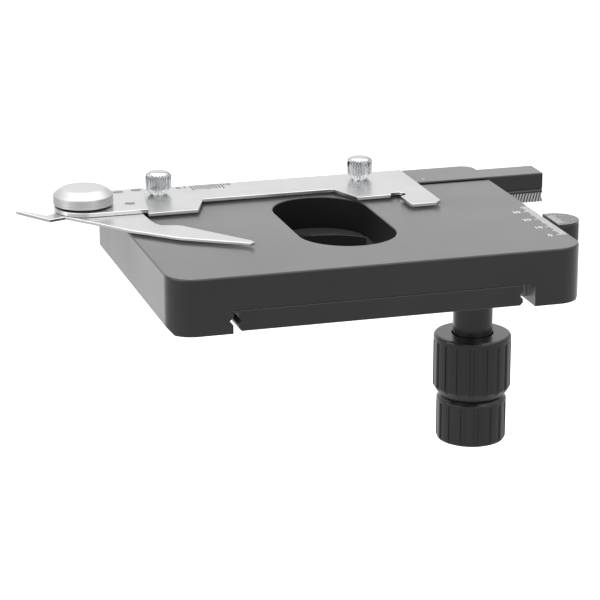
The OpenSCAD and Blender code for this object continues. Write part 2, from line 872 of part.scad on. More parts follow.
// Bracket with two legs and a flange that carries the drive tube
module drive_housing() {
    flange_rim = 2.2;
    half = leg_gap / 2;
    head_seat = flange_z + m3_head_h / 2;
    color("#2b2d2e")
    difference() {
        union() {
            for (s = [-1, 1])
                block([leg_x, drive_y + s * (half + leg_l / 2) - leg_l / 2, flange_top],
                      [housing_edge, drive_y + s * (half + leg_l / 2) + leg_l / 2, -lug_drop]);
            block([lug_right_x, drive_y - half - leg_l, flange_z],
                  [housing_edge, drive_y + half + leg_l, flange_top]);
            translate([drive_x, drive_y, flange_z])
                cylinder(h = flange_t, r = tube_d / 2 + flange_rim);
        }
        translate([drive_x, drive_y, flange_z - over])
            cylinder(h = flange_t + 2 * over, r = tube_d / 2 - tube_wall);
        translate([drive_x, drive_y, flange_z - over])
            cylinder(h = flange_t * tube_seat_share + over, d = tube_d + 2 * fit_clear);
        for (y = housing_screw_ys)
            translate([housing_screw_x, y, flange_z]) {
                translate([0, 0, -over])
                    cylinder(h = head_seat - flange_z + over, d = m3_head_d + slide_clear);
                cylinder(h = -flange_z, d = m3_d + 2 * fit_clear);
            }
    }
}

module drive_housing_screws() {
    color("#4a4c4e")
    for (y = housing_screw_ys)
        translate([housing_screw_x, y, flange_z + m3_head_h / 2])
            cap_screw(m3_d, m3_head_d, m3_head_h, housing_screw_l);
}

tube_top = flange_z + flange_t * tube_seat_share;
module drive_tube() {
    color("#303233")
    translate([drive_x, drive_y, 0])
        difference() {
            translate([0, 0, tube_z])
                cylinder(h = tube_top - tube_z, d = tube_d);
            translate([0, 0, tube_z - over])
                cylinder(h = -tube_z, r = tube_d / 2 - tube_wall);
        }
}

// Two bushes in the drive tube that the outer shaft turns in
outer_bush_h = 7;
outer_bush_zs = [tube_z, tube_top - outer_bush_h];
module tube_bushes() {
    color("#a9803a")
    for (z = outer_bush_zs)
        translate([drive_x, drive_y, z])
            difference() {
                cylinder(h = outer_bush_h, r = tube_d / 2 - tube_wall - fit_clear);
                translate([0, 0, -over])
                    cylinder(h = outer_bush_h + 2 * over, d = outer_shaft_d + 2 * run_clear);
            }
}

module x_shaft_bush() {
    color("#a9803a")
    translate([drive_x, drive_y, groove_floor_z - bush_h])
        difference() {
            cylinder(h = bush_h, r = rail_pocket_r - fit_clear);
            translate([0, 0, -over])
                cylinder(h = bush_h + 2 * over, d = inner_shaft_d + 2 * run_clear);
        }
}

// Thrust washer under a pinion
module washer(z, h, inner_d, outer_r) {
    translate([drive_x, drive_y, z])
        difference() {
            cylinder(h = h, r = outer_r);
            translate([0, 0, -over])
                cylinder(h = h + 2 * over, d = inner_d + 4 * run_clear);
        }
}

module x_thrust_washer() {
    h = rail_pinion_z - groove_floor_z - seat_gap;
    color("#a9803a")
    washer(groove_floor_z, h, inner_shaft_d, rail_pitch_r - rail_module * 1.5);
}

module y_thrust_washer() {
    color("#a9803a")
    washer(flange_top, guide_washer_t, outer_shaft_d, guide_pitch_r + guide_module * 2);
}

// A cage strip of the slider guide on the row at y
module rail_cage(y) {
    end_share = 0.6;
    l = (rail_balls - end_share) * rail_pitch;
    color("#b08d3c")
    difference() {
        block([rail_cage_x - l / 2, y - rail_cage_t / 2, rail_z - rail_cage_h / 2],
              [rail_cage_x + l / 2, y + rail_cage_t / 2, rail_z + rail_cage_h / 2]);
        for (x = rail_xs)
            translate([x, y + rail_cage_t, rail_z])
                rotate([90, 0, 0])
                    cylinder(h = 2 * rail_cage_t, d = rail_ball_d + 2 * pocket_clear);
    }
}

module x_ball_cage_front() {
    rail_cage(front_row_y);
}

module x_ball_cage_rear() {
    rail_cage(rear_row_y);
}

module x_balls() {
    color("#d5d8da")
    for (y = [front_row_y, rear_row_y], x = rail_xs)
        translate([x, y, rail_z])
            sphere(d = rail_ball_d - 2 * ball_clear);
}

// Fasteners between the slider and its rack
rack_mid_share = 0.65;
rack_mid_y = slider_front + rack_setback + rail_rack_w * rack_mid_share;
rail_screw_xs = [
    rail_rack_left + rack_screw_inset, (rail_rack_left + slider_right) / 2,
    slider_right - rack_screw_inset
];
rail_screw_l = 6;
rail_head_d = 2.9;
dowel_d = 1.6;
dowel_x = 46.5;
dowel_inset = 14;
dowel_xs = [rail_rack_left + dowel_inset, dowel_x];
bracket_reach = 24.7;
bracket_screw_shares = [[0.63, -0.29], [0.607, 1.159], [0.874, 1.245]];
bracket_screw_places = [
    for (q = bracket_screw_shares) [-pivot_x + q[0] * bracket_reach, pivot_y + q[1] * bracket_r]
];
thumb_shank_l = 6.4;

module slider_bar() {
    dp = groove_depth_for(rail_ball_d, rail_gap);
    nick = 0.3;
    color("#2b2d2e")
    difference() {
        along_x(-slider_left, slider_right)
            difference() {
                polygon([
                    [slider_front, slider_z], [slider_rear_face, slider_z],
                    [slider_rear_face, slider_top - slider_lip], [slider_back, slider_top - slider_lip],
                    [slider_back, slider_top], [slider_front + nick, slider_top],
                    [slider_front, slider_top - nick]
                ]);
                translate([slider_front, rail_z])
                    vee_back(dp);
                translate([slider_rear_face, rail_z])
                    vee(dp);
            }
        for (x = [-screw_left_x, screw_right_x])
            translate([x, screw_line_y, slider_z - over])
                cylinder(h = slider_h + 2 * over, d = m3_d + 2 * fit_clear);
        for (x = rail_screw_xs)
            translate([x, rack_mid_y, slider_z - over])
                cylinder(h = rail_screw_l, d = m2_d + 2 * fit_clear);
        for (x = dowel_xs)
            translate([x, rack_mid_y, slider_z - over])
                cylinder(h = slider_h + 2 * over, d = dowel_d + 2 * fit_clear);
        translate([x_stop_x, x_stop_y, slider_z - over])
            cylinder(h = x_stop_up + over, d = x_stop_d + 2 * fit_clear);
    }
}

// Slanted comb: straight teeth carried along a line that leans by the helix
// angle, cut to the rack's block
module x_rack() {
    front = slider_front + rack_setback;
    reach = max(slider_right - drive_x, drive_x - rail_rack_left) + rail_rack_h;
    long = 2 * reach * sin(rail_helix) + 4 * rail_rack_h;
    mid_z = rail_pinion_z + rail_pinion_h / 2;
    root_y = front + rail_module * (1 + rack_root_share);
    color("#d5d8da")
    difference() {
        union() {
            block([rail_rack_left, root_y, rail_rack_z], [slider_right, front + rail_rack_w, slider_z]);
            intersection() {
                block([rail_rack_left, front - over, rail_rack_z],
                      [slider_right, root_y + rail_module, slider_z]);
                translate([drive_x, drive_y + rail_pitch_r, mid_z])
                    rotate([0, rail_helix, 0])
                        linear_extrude(height = long, center = true)
                            rotate(-90)
                                rack_teeth(rail_module,
                                           tooth_places(-reach, reach, PI * rail_module));
            }
        }
        for (x = rail_screw_xs)
            translate([x, rack_mid_y, rail_rack_z])
                mirror([0, 0, 1])
                    flat_hole(m2_d, rail_head_d, rail_rack_h + over);
        for (x = dowel_xs)
            translate([x, rack_mid_y, rail_rack_z - over])
                cylinder(h = rail_rack_h + 2 * over, d = dowel_d + 2 * fit_clear);
    }
}

module x_rack_screws() {
    color("#4a4c4e")
    for (x = rail_screw_xs)
        translate([x, rack_mid_y, rail_rack_z])
            mirror([0, 0, 1])
                flat_screw(m2_d, rail_head_d, rail_rack_h + rail_screw_l - 2 * over);
}

module x_rack_dowels() {
    color("#8f9294")
    for (x = dowel_xs)
        translate([x, rack_mid_y, rail_rack_z])
            cylinder(h = rail_rack_h + slider_h, d = dowel_d);
}

module x_stop_pin() {
    color("#b9bcbd")
    translate([x_stop_x, x_stop_y, slider_z - x_stop_down])
        cylinder(h = x_stop_down + x_stop_up, d = x_stop_d);
}

// The bright sheet that lies on the slider and reaches round the slide
tongue_w = 8.5;
tongue_lead = 4.5;
tongue_x = holder_left_x + tongue_w;
tongue_y = pivot_y - tongue_lead;
module specimen_holder() {
    tip_edge = 1.6;
    outer_edge = 2.4;
    relief_y = holder_front_y;
    relief_x = hook_inner_x;
    color("#d9dbdb")
    difference() {
        translate([0, 0, sheet_z])
            linear_extrude(height = sheet_t)
                polygon([
                    [-tongue_x, holder_back], [-tongue_x, tongue_y],
                    [-holder_left_x, tongue_y], [-holder_left_x, holder_front_y],
                    [-holder_lug_x, holder_front_y], [-holder_lug_x + holder_slant, holder_rail_y],
                    [holder_step_x - holder_slant, holder_rail_y], [holder_step_x, holder_front_y],
                    [hook_inner_x, holder_front_y], [hook_inner_x, hook_tip_y + tip_edge],
                    [hook_inner_x + tip_edge / 2, hook_tip_y], [hook_outer_x - outer_edge, hook_tip_y],
                    [hook_outer_x, hook_tip_y + outer_edge], [hook_outer_x, holder_back]
                ]);
        translate([relief_x, relief_y, sheet_z - over])
            cylinder(h = sheet_t + 2 * over, r = hook_relief_r);
        for (x = [-screw_left_x, screw_right_x])
            translate([x, screw_line_y, sheet_z - over])
                cylinder(h = sheet_t + 2 * over, d = m3_d + slide_clear);
        for (p = bracket_screw_places)
            translate([p[0], p[1], sheet_z - over])
                cylinder(h = sheet_t + 2 * over, d = m2_d + 2 * fit_clear);
    }
}

// Flat bracket on the holder's left end, round about the pivot
spring_post_r = 7.9;
spring_post_d = 0.9;
spring_h = 2;
module pivot_bracket() {
    front_reach = 20;
    end_in = 0.8;
    end_fore = 1.2;
    back_reach = 10.3;
    back_depth = 15.9;
    back_y = pivot_y + back_depth;
    front_y = pivot_y - end_fore - bracket_r;
    lean_share = 0.35;
    color("#cfd1d1")
    difference() {
        union() {
            translate([-pivot_x + end_in, pivot_y - end_fore, sheet_top])
                cylinder(h = bracket_t, r = bracket_r);
            translate([0, 0, sheet_top])
                linear_extrude(height = bracket_t)
                    polygon([
                        [-pivot_x + end_in, front_y], [-pivot_x + front_reach, front_y],
                        [-pivot_x + bracket_reach, back_y], [-pivot_x + back_reach, back_y],
                        [-pivot_x + end_in - bracket_r * lean_share,
                         pivot_y - end_fore + bracket_r * sqrt(1 - lean_share * lean_share)]
                    ]);
            translate([-pivot_x - spring_post_r, pivot_y, bracket_top - bracket_t / 2])
                cylinder(h = bracket_t / 2 + cap_gap + spring_h, d = spring_post_d);
        }
        translate([-pivot_x, pivot_y, sheet_top - over])
            cylinder(h = bracket_t + 2 * over, d = pin_d + 2 * run_clear);
        for (p = bracket_screw_places)
            translate([p[0], p[1], bracket_top])
                flat_hole(m2_d, bracket_head_d, bracket_t + over);
    }
}

// Flat screws of the bracket, flush with its top
bracket_head_d = 3.6;
module pivot_bracket_screws() {
    color("#b4b6b7")
    for (p = bracket_screw_places)
        translate([p[0], p[1], bracket_top])
            flat_screw(m2_d, bracket_head_d, bracket_t + sheet_t);
}

// Flat spiral spring round the pivot pin, from the pin out to its post
module clip_spring() {
    strip = 0.4;
    pin_gap = 0.3;
    r0 = pin_d / 2 + pin_gap;
    r1 = spring_post_r - spring_post_d / 2 - strip / 2 - fit_clear;
    turns = 2.5;
    steps = 60;
    function radius_at(k) = r0 + strip / 2 + (r1 - r0 - strip / 2) * k / steps;
    function angle_at(k) = 180 - 360 * turns * (1 - k / steps);
    color("#9a9da0")
    translate([-pivot_x, pivot_y, bracket_top])
        linear_extrude(height = spring_h)
            polygon(concat(
                [for (k = [0 : steps]) on_circle(radius_at(k) - strip / 2, angle_at(k))],
                [for (k = [steps : -1 : 0]) on_circle(radius_at(k) + strip / 2, angle_at(k))]
            ));
}

// Clip lever: a hub under the bracket, a pointed blade and a thumb tab.
// The blade's outline is given from the pivot, as shares of how far its tip
// reaches across and forward; its last point is the edge of a nose that rests
// against the holder's tongue
blade_across = 45.1;
blade_forward = 57.3;
blade_shares = [
    [-0.173, -0.148], [0.024, -0.342], [0.211, -0.541], [0.508, -0.771], [0.894, -0.962],
    [0.960, -1], [1, -0.981], [0.989, -0.944], [0.605, -0.531], [0.561, -0.508],
    [0.455, -0.483], [0.426, -0.431], [0.408, -0.318], [0.401, -0.183]
];
blade = [
    for (q = blade_shares) [-pivot_x + q[0] * blade_across, pivot_y + q[1] * blade_forward]
];
module clip_lever() {
    bend_reach = 13.7;
    tab_front = -10.5;
    tab_back = -5;
    tip_front = -7.9;
    tip_back = -6.3;
    tip_edge = 0.8;
    hub_share = 0.6;
    stop_y = tongue_y - seat_gap;
    bend_x = -pivot_x - bend_reach;
    tip_x = bend_x - tab_l * cos(tab_bend);
    far = tab_l + over;
    near = blade_across + over;
    color("#d4d6d6")
    difference() {
        union() {
            translate([-pivot_x, pivot_y, sheet_z])
                cylinder(h = lever_t, r = hub_r);
            // The bent sheet's section along X, cut to the lever's outline
            intersection() {
                along_y(pivot_y - blade_forward - over, pivot_y + hub_r)
                    polygon([
                        [near - pivot_x, sheet_z], [bend_x, sheet_z],
                        [bend_x - far, sheet_z + far * tan(tab_bend)],
                        [bend_x - far, sheet_z + far * tan(tab_bend) + lever_t / cos(tab_bend)],
                        [bend_x + lever_t * tan(tab_bend / 2), sheet_z + lever_t],
                        [near - pivot_x, sheet_z + lever_t]
                    ]);
                translate([0, 0, sheet_z - over])
                    linear_extrude(height = far)
                        polygon(concat(
                            [
                                [-pivot_x, pivot_y + hub_r * hub_share], [bend_x, pivot_y + tab_back],
                                [tip_x + tip_edge, pivot_y + tip_back],
                                [tip_x, pivot_y + (tip_back + tip_front) / 2],
                                [tip_x + tip_edge, pivot_y + tip_front], [bend_x, pivot_y + tab_front]
                            ],
                            blade,
                            [[blade[len(blade) - 1][0], stop_y], [-pivot_x + hub_r, stop_y]]
                        ));
            }
        }
        translate([-pivot_x, pivot_y, sheet_z - over])
            cylinder(h = lever_t + 2 * over, d = pin_d + 2 * fit_clear);
    }
}

module pivot_pin() {
    color("#9a9da0")
    translate([-pivot_x, pivot_y, sheet_z])
        cylinder(h = cap_z + cap_rim_h + cap_cone_h - sheet_z, d = pin_d);
}

// Turned cap that covers the spring
module pivot_cap() {
    wall = 1.5;
    roof = 1.9;
    edge = 0.3;
    r = cap_d / 2;
    top = cap_rim_h + cap_cone_h;
    color("#cfd1d1")
    translate([-pivot_x, pivot_y, cap_z])
        rotate_extrude()
            polygon([
                [pin_d / 2 + fit_clear, top - roof], [r - wall, top - roof], [r - wall, 0], [r - edge, 0],
                [r, edge], [r, cap_rim_h], [cap_flat_d / 2, top], [pin_d / 2 + fit_clear, top]
            ]);
}

// Knurled thumb screw standing on the holder at x
thumb_d = 9;
thumb_neck_d = 6.1;
thumb_flutes = 24;
module thumb_screw(x) {
    neck_h = 0.8;
    taper_h = 1.6;
    grip_h = 4.8;
    dome_h = 1.1;
    dome_in_share = 0.7;
    dome_up_share = 0.75;
    flute_r = 0.42;
    flute_out_share = 0.45;
    flute_offset = thumb_d / 2 + flute_r * flute_out_share;
    color("#dfe1e2")
    translate([x, screw_line_y, sheet_top]) {
        difference() {
            rotate_extrude()
                polygon([
                    [0, 0], [thumb_neck_d / 2, 0], [thumb_neck_d / 2, neck_h],
                    [thumb_d / 2, neck_h + taper_h], [thumb_d / 2, neck_h + taper_h + grip_h],
                    [thumb_d / 2 - dome_h * dome_in_share,
                     neck_h + taper_h + grip_h + dome_h * dome_up_share],
                    [thumb_d / 4, neck_h + taper_h + grip_h + dome_h],
                    [0, neck_h + taper_h + grip_h + dome_h]
                ]);
            for (i = [0 : thumb_flutes - 1])
                rotate(i * 360 / thumb_flutes)
                    translate([flute_offset, 0, neck_h])
                        cylinder(h = taper_h + grip_h + dome_h, r = flute_r);
        }
        translate([0, 0, -thumb_shank_l])
            cylinder(h = thumb_shank_l, d = m3_d);
    }
}

module thumb_screw_left() {
    thumb_screw(-screw_left_x);
}

module thumb_screw_right() {
    thumb_screw(screw_right_x);
}

// Ribs of a knob: grooves between them are cut from its revolved body
module knob_grooves(d, count, z0, z1) {
    wide_share = 0.42;
    floor_share = 0.7;
    flare_share = 0.4;
    wide = PI * d / count * wide_share;
    flare = over * flare_share;
    for (i = [0 : count - 1])
        rotate(i * 360 / count + 180 / count)
            translate([0, 0, z0])
                linear_extrude(height = z1 - z0)
                    polygon([
                        [d / 2 - groove_depth, -wide * floor_share / 2], [d / 2 + over, -(wide + flare) / 2],
                        [d / 2 + over, (wide + flare) / 2], [d / 2 - groove_depth, wide * floor_share / 2]
                    ]);
}

knob_round = 1;
knob_round_share = 0.3;
knob_screw_l = 6;
knob_floor = 2.5;

module y_knob() {
    r = big_knob_d / 2;
    foot = 3.4;
    foot_in = 2.1;
    skirt = 1.3;
    seat_r = tube_d / 2 + tube_clear;
    seat_room = 0.8;
    seat_depth = tube_seat + seat_room;
    screw_z = big_knob_h / 2;
    color("#303233")
    translate([drive_x, drive_y, big_knob_z])
        difference() {
            rotate_extrude()
                polygon([
                    [0, 0], [r - foot_in, 0], [r, foot], [r, big_knob_h - knob_round],
                    [r - knob_round * knob_round_share, big_knob_h - knob_round * knob_round_share],
                    [r - knob_round, big_knob_h], [0, big_knob_h]
                ]);
            knob_grooves(big_knob_d, big_knob_ribs, -over, big_knob_h - knob_round - skirt);
            translate([0, 0, -over])
                cylinder(h = big_knob_h, d = outer_shaft_d + 2 * fit_clear);
            translate([0, 0, big_knob_h - seat_depth])
                cylinder(h = seat_depth + over, r = seat_r);
            translate([0, 0, screw_z])
                rotate([0, 90, 180 / big_knob_ribs])
                    cylinder(h = big_knob_d, d = m3_d + 2 * fit_clear);
        }
}

module y_shaft() {
    top = guide_pinion_z + guide_pinion_h;
    shaft_end = 0.4;
    color("#b9bcbd")
    translate([drive_x, drive_y, big_knob_z + shaft_end])
        difference() {
            cylinder(h = top - big_knob_z - shaft_end, d = outer_shaft_d);
            translate([0, 0, -over])
                cylinder(h = top - big_knob_z + 2 * over, d = outer_bore_d);
        }
}

module y_pinion() {
    color("#b9bcbd")
    translate([drive_x, drive_y, guide_pinion_z])
        difference() {
            linear_extrude(height = guide_pinion_h)
                rotate(180)
                    gear_outline(guide_pitch_r, guide_teeth, guide_module);
            translate([0, 0, -over])
                cylinder(h = guide_pinion_h + 2 * over, d = outer_shaft_d + 2 * fit_clear);
        }
}

// A set screw that presses on a shaft of diameter d, at an angle, from z
module set_screw(d, angle, z) {
    translate([drive_x, drive_y, z])
        rotate([0, 90, angle])
            translate([0, 0, d / 2 + fit_clear])
                difference() {
                    cylinder(h = knob_screw_l, d = m3_d);
                    translate([0, 0, knob_screw_l - m3_d * socket_share])
                        cylinder(h = m3_d, d = m3_d * socket_share, $fn = 6);
                }
}

module y_knob_screws() {
    color("#4a4c4e")
    set_screw(outer_shaft_d, 180 / big_knob_ribs, big_knob_z + big_knob_h / 2);
}

module x_knob() {
    r = small_knob_d / 2;
    shoulder = 1.2;
    foot = 1.6;
    skirt = 1;
    screw_z = small_knob_h / 2;
    color("#303233")
    translate([drive_x, drive_y, small_knob_z])
        difference() {
            rotate_extrude()
                polygon([
                    [0, 0], [r - foot, 0], [r - foot * knob_round_share, foot * knob_round_share], [r, foot],
                    [r, small_knob_h - shoulder], [r - shoulder, small_knob_h], [0, small_knob_h]
                ]);
            knob_grooves(small_knob_d, small_knob_ribs, -over, small_knob_h - shoulder - skirt);
            translate([0, 0, knob_floor])
                cylinder(h = small_knob_h, d = inner_shaft_d + 2 * fit_clear);
            translate([0, 0, screw_z])
                rotate([0, 90, 180 / small_knob_ribs])
                    cylinder(h = small_knob_d, d = m3_d + 2 * fit_clear);
        }
}

module x_shaft() {
    foot = small_knob_z + knob_floor + slide_clear;
    top = rail_pinion_z + rail_pinion_h;
    color("#c4c6c8")
    translate([drive_x, drive_y, foot])
        cylinder(h = top - foot, d = inner_shaft_d);
}

// Slanted pinion: its outline turns by the height times the tangent of the
// helix angle over the pitch radius
module x_pinion() {
    turn = rail_pinion_h * tan(rail_helix) / rail_pitch_r * 180 / PI;
    color("#b9bcbd")
    translate([drive_x, drive_y, rail_pinion_z])
        difference() {
            rotate(90 + turn / 2)
                linear_extrude(height = rail_pinion_h, twist = turn, slices = 3)
                    gear_outline(rail_pitch_r, rail_teeth, rail_mt);
            translate([0, 0, -over])
                cylinder(h = rail_pinion_h + 2 * over, d = inner_shaft_d + 2 * fit_clear);
        }
}

module x_knob_screw() {
    color("#4a4c4e")
    set_screw(inner_shaft_d, 180 / small_knob_ribs, small_knob_z + small_knob_h / 2);
}

base_plate();
y_rack();
y_rack_screws();
y_stop_pin();
vernier_post();
vernier_plate();
vernier_plate_screws();
vernier_post_screws();
y_ball_cage_left();
y_ball_cage_right();
y_balls();
stage_plate();
rear_rail();
rear_rail_screws();
gib_rail();
gib_screws();
drive_housing();
drive_housing_screws();
drive_tube();
tube_bushes();
x_shaft_bush();
x_thrust_washer();
y_thrust_washer();
x_ball_cage_front();
x_ball_cage_rear();
x_balls();
slider_bar();
x_rack();
x_rack_screws();
x_rack_dowels();
x_stop_pin();
specimen_holder();
pivot_bracket();
pivot_bracket_screws();
clip_spring();
clip_lever();
pivot_pin();
pivot_cap();
thumb_screw_left();
thumb_screw_right();
y_knob();
y_shaft();
y_pinion();
y_knob_screws();
x_knob();
x_shaft();
x_pinion();
x_knob_screw();
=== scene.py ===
# %% [markdown]
# # A mechanical microscope stage
#
# This stage carries a glass slide under a microscope. A black anodised plate
# runs forward and back on balls, a black bar runs sideways behind it, and a
# bright sheet with a sprung clip holds the slide. Two knobs under the right
# rear corner drive both movements.
#
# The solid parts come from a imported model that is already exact. This file
# rounds their sharp edges, gives them their finishes, prints the scales, and
# sets up the camera and the light.

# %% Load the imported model
import json
import math

import bmesh
import bpy
import numpy as np
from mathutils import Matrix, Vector


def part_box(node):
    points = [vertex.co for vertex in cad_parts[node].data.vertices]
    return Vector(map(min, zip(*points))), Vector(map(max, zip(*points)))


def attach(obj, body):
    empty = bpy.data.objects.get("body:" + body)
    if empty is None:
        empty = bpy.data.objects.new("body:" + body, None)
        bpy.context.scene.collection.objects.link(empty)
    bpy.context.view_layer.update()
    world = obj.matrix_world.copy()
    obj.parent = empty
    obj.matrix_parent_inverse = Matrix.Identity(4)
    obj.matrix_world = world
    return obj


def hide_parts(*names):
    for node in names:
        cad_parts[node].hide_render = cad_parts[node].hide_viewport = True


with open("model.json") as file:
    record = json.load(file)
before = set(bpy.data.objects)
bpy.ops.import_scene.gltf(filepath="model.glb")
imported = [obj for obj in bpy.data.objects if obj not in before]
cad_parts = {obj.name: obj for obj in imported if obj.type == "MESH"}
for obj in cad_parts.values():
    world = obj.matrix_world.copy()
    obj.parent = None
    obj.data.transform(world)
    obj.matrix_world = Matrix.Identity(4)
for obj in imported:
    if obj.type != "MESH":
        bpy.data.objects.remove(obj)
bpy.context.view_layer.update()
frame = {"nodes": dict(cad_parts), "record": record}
MM = 0.001
BODY_OF = {node: body
           for body, nodes in frame["record"]["behaviour"]["bodies"].items() for node in nodes}
SLOT_OF = {entry["node"]: entry["material_slot"] for entry in frame["record"]["subparts"]}

# %% [markdown]
# ## The camera
#
# The photograph was taken with a long lens, from the left and a little above.
# The edges of the plate are parallel in space, so the points where their
# pictures meet give the camera's turn, tilt and focal length. The camera
# stands level, so its picture needs no shift.

# %% Camera
CAMERA_PLACE = Vector((-245.8, -786.8, 247.2)) * MM
CAMERA_DOWN = 17.33
CAMERA_TURN = 16.56
FOCAL_PIXELS = 2527.4
PICTURE_WIDTH = 600
SENSOR = 36.0

camera = bpy.data.objects.new("camera", bpy.data.cameras.new("camera"))
camera.data.sensor_width = SENSOR
camera.data.lens = FOCAL_PIXELS / PICTURE_WIDTH * SENSOR
camera.data.clip_start = 0.01
camera.location = CAMERA_PLACE
camera.rotation_euler = (math.radians(90 - CAMERA_DOWN), 0, math.radians(-CAMERA_TURN))
bpy.context.scene.collection.objects.link(camera)
bpy.context.scene.camera = camera
bpy.context.scene.view_settings.view_transform = "Standard"
print("lens", round(camera.data.lens, 1), "mm")

# %% [markdown]
# ## Floor, background and light
#
# The stage is held up by its base plate, so the floor lies below the knobs.
# The camera sees a plain white floor and world. The object mirrors the same
# white where the backdrop and the ceiling are, and a slightly dimmer room
# elsewhere, because metal gets nearly all its tone from what it mirrors. The
# light that falls on the object is softer: a world of middle strength and
# three large soft lamps.

# %% How bright the surroundings are in a mirror
BACKDROP_EDGE = (0.74, 0.88)
CEILING = 0.25
ROOM = 0.62


def mirrored_strength(tree, direction):
    """1 where a direction points at the backdrop (+Y) or at the ceiling, else the room's level.

    Strength = smoothstep(BACKDROP_EDGE, max(y, z + CEILING)), taken from ROOM..1.
    """
    unit = tree.nodes.new("ShaderNodeVectorMath")
    unit.operation = "NORMALIZE"
    parts = tree.nodes.new("ShaderNodeSeparateXYZ")
    steps = tree.nodes.new("ShaderNodeMapRange")
    steps.interpolation_type = "SMOOTHSTEP"
    steps.inputs["From Min"].default_value, steps.inputs["From Max"].default_value = BACKDROP_EDGE
    steps.inputs["To Min"].default_value = ROOM
    steps.inputs["To Max"].default_value = 1.0
    tree.links.new(direction, unit.inputs[0])
    tree.links.new(unit.outputs[0], parts.inputs[0])
    ceiling = tree.nodes.new("ShaderNodeMath")
    ceiling.operation = "ADD"
    ceiling.inputs[1].default_value = CEILING
    bright = tree.nodes.new("ShaderNodeMath")
    bright.operation = "MAXIMUM"
    tree.links.new(parts.outputs["Z"], ceiling.inputs[0])
    tree.links.new(parts.outputs["Y"], bright.inputs[0])
    tree.links.new(ceiling.outputs[0], bright.inputs[1])
    tree.links.new(bright.outputs[0], steps.inputs["Value"])
    return steps.outputs[0]


def by_ray(tree, lit, mirrored, shown):
    """A shader that differs for light, for mirrors and glass, and for the camera."""
    rays = tree.nodes.new("ShaderNodeLightPath")
    glossy = tree.nodes.new("ShaderNodeMath")
    glossy.operation = "MAXIMUM"
    tree.links.new(rays.outputs["Is Glossy Ray"], glossy.inputs[0])
    tree.links.new(rays.outputs["Is Transmission Ray"], glossy.inputs[1])
    for share, second in ((glossy.outputs[0], mirrored), (rays.outputs["Is Camera Ray"], shown)):
        mix = tree.nodes.new("ShaderNodeMixShader")
        tree.links.new(share, mix.inputs[0])
        tree.links.new(lit, mix.inputs[1])
        tree.links.new(second, mix.inputs[2])
        lit = mix.outputs[0]
    return lit


print("the room mirrors at", ROOM)

# %% World
WORLD_LIGHT = 0.55
world = bpy.data.worlds.new("studio")
bpy.context.scene.world = world
world.use_nodes = True
tree = world.node_tree
tree.nodes.clear()
world_out = tree.nodes.new("ShaderNodeOutputWorld")
towards = tree.nodes.new("ShaderNodeTexCoord")
grounds = [tree.nodes.new("ShaderNodeBackground") for _ in range(3)]
for ground, strength in zip(grounds, (WORLD_LIGHT, 1.0, 1.0)):
    ground.inputs["Color"].default_value = (1, 1, 1, 1)
    ground.inputs["Strength"].default_value = strength
tree.links.new(mirrored_strength(tree, towards.outputs["Generated"]), grounds[1].inputs["Strength"])
tree.links.new(by_ray(tree, *[ground.outputs[0] for ground in grounds]),
               world_out.inputs["Surface"])
print("the world lights at", WORLD_LIGHT)

# %% Floor
FLOOR_Z = -0.26
FLOOR_HALF = 6.0
FLOOR_GLOW = 0.62
FLOOR_PAPER = 0.8
floor_mesh = bpy.data.meshes.new("floor")
floor_mesh.from_pydata(
    [(x * FLOOR_HALF, y * FLOOR_HALF, FLOOR_Z) for x, y in ((-1, -1), (1, -1), (1, 1), (-1, 1))],
    [], [(0, 1, 2, 3)])
floor = bpy.data.objects.new("floor", floor_mesh)
bpy.context.scene.collection.objects.link(floor)
floor_finish = bpy.data.materials.new("floor_white")
floor_finish.use_nodes = True
tree = floor_finish.node_tree
tree.nodes.clear()
floor_out = tree.nodes.new("ShaderNodeOutputMaterial")
floor_place = tree.nodes.new("ShaderNodeTexCoord")
paper = tree.nodes.new("ShaderNodeBsdfDiffuse")
paper.inputs["Color"].default_value = (FLOOR_PAPER, FLOOR_PAPER, FLOOR_PAPER, 1)
glow = tree.nodes.new("ShaderNodeEmission")
glow.inputs["Strength"].default_value = FLOOR_GLOW
mirrored_floor = tree.nodes.new("ShaderNodeEmission")
seen_floor = tree.nodes.new("ShaderNodeAddShader")
tree.links.new(mirrored_strength(tree, floor_place.outputs["Object"]),
               mirrored_floor.inputs["Strength"])
tree.links.new(paper.outputs[0], seen_floor.inputs[0])
tree.links.new(glow.outputs[0], seen_floor.inputs[1])
tree.links.new(by_ray(tree, paper.outputs[0], mirrored_floor.outputs[0], seen_floor.outputs[0]),
               floor_out.inputs["Surface"])
floor_mesh.materials.append(floor_finish)
print("floor at", FLOOR_Z, "m")


# %% Lamps
def soft_lamp(name, place, size, watts):
    """A square lamp of the given size in metres that looks from its place at the origin."""
    lamp = bpy.data.objects.new(name, bpy.data.lights.new(name, "AREA"))
    lamp.data.size = size
    lamp.data.energy = watts
    lamp.location = place
    lamp.rotation_euler = (-Vector(place)).to_track_quat("-Z", "Y").to_euler()
    bpy.context.scene.collection.objects.link(lamp)


LAMPS = {
    "lamp_above": ((0.1, 0.2, 1.5), 2.2, 17),
    "lamp_left": ((-1.4, -0.3, 0.6), 1.6, 12),
    "lamp_front": ((0.5, -1.5, 0.9), 1.6, 6),
}
for lamp_name, (place, size, watts) in LAMPS.items():
    soft_lamp(lamp_name, place, size, watts)
print("soft lamps:", sorted(LAMPS))

# %% [markdown]
# ## Shared effects
#
# Several finishes need the same small effects, so each effect is one shader
# node group. `fine_grain` is the tiny pitting of a bead blasted or anodised
# face. `brush_lines` is the directional scratch of brushed metal, and
# `turning_lines` the rings that a lathe leaves. `handling` is the faint
# cloudiness that hands and dust leave on any instrument.


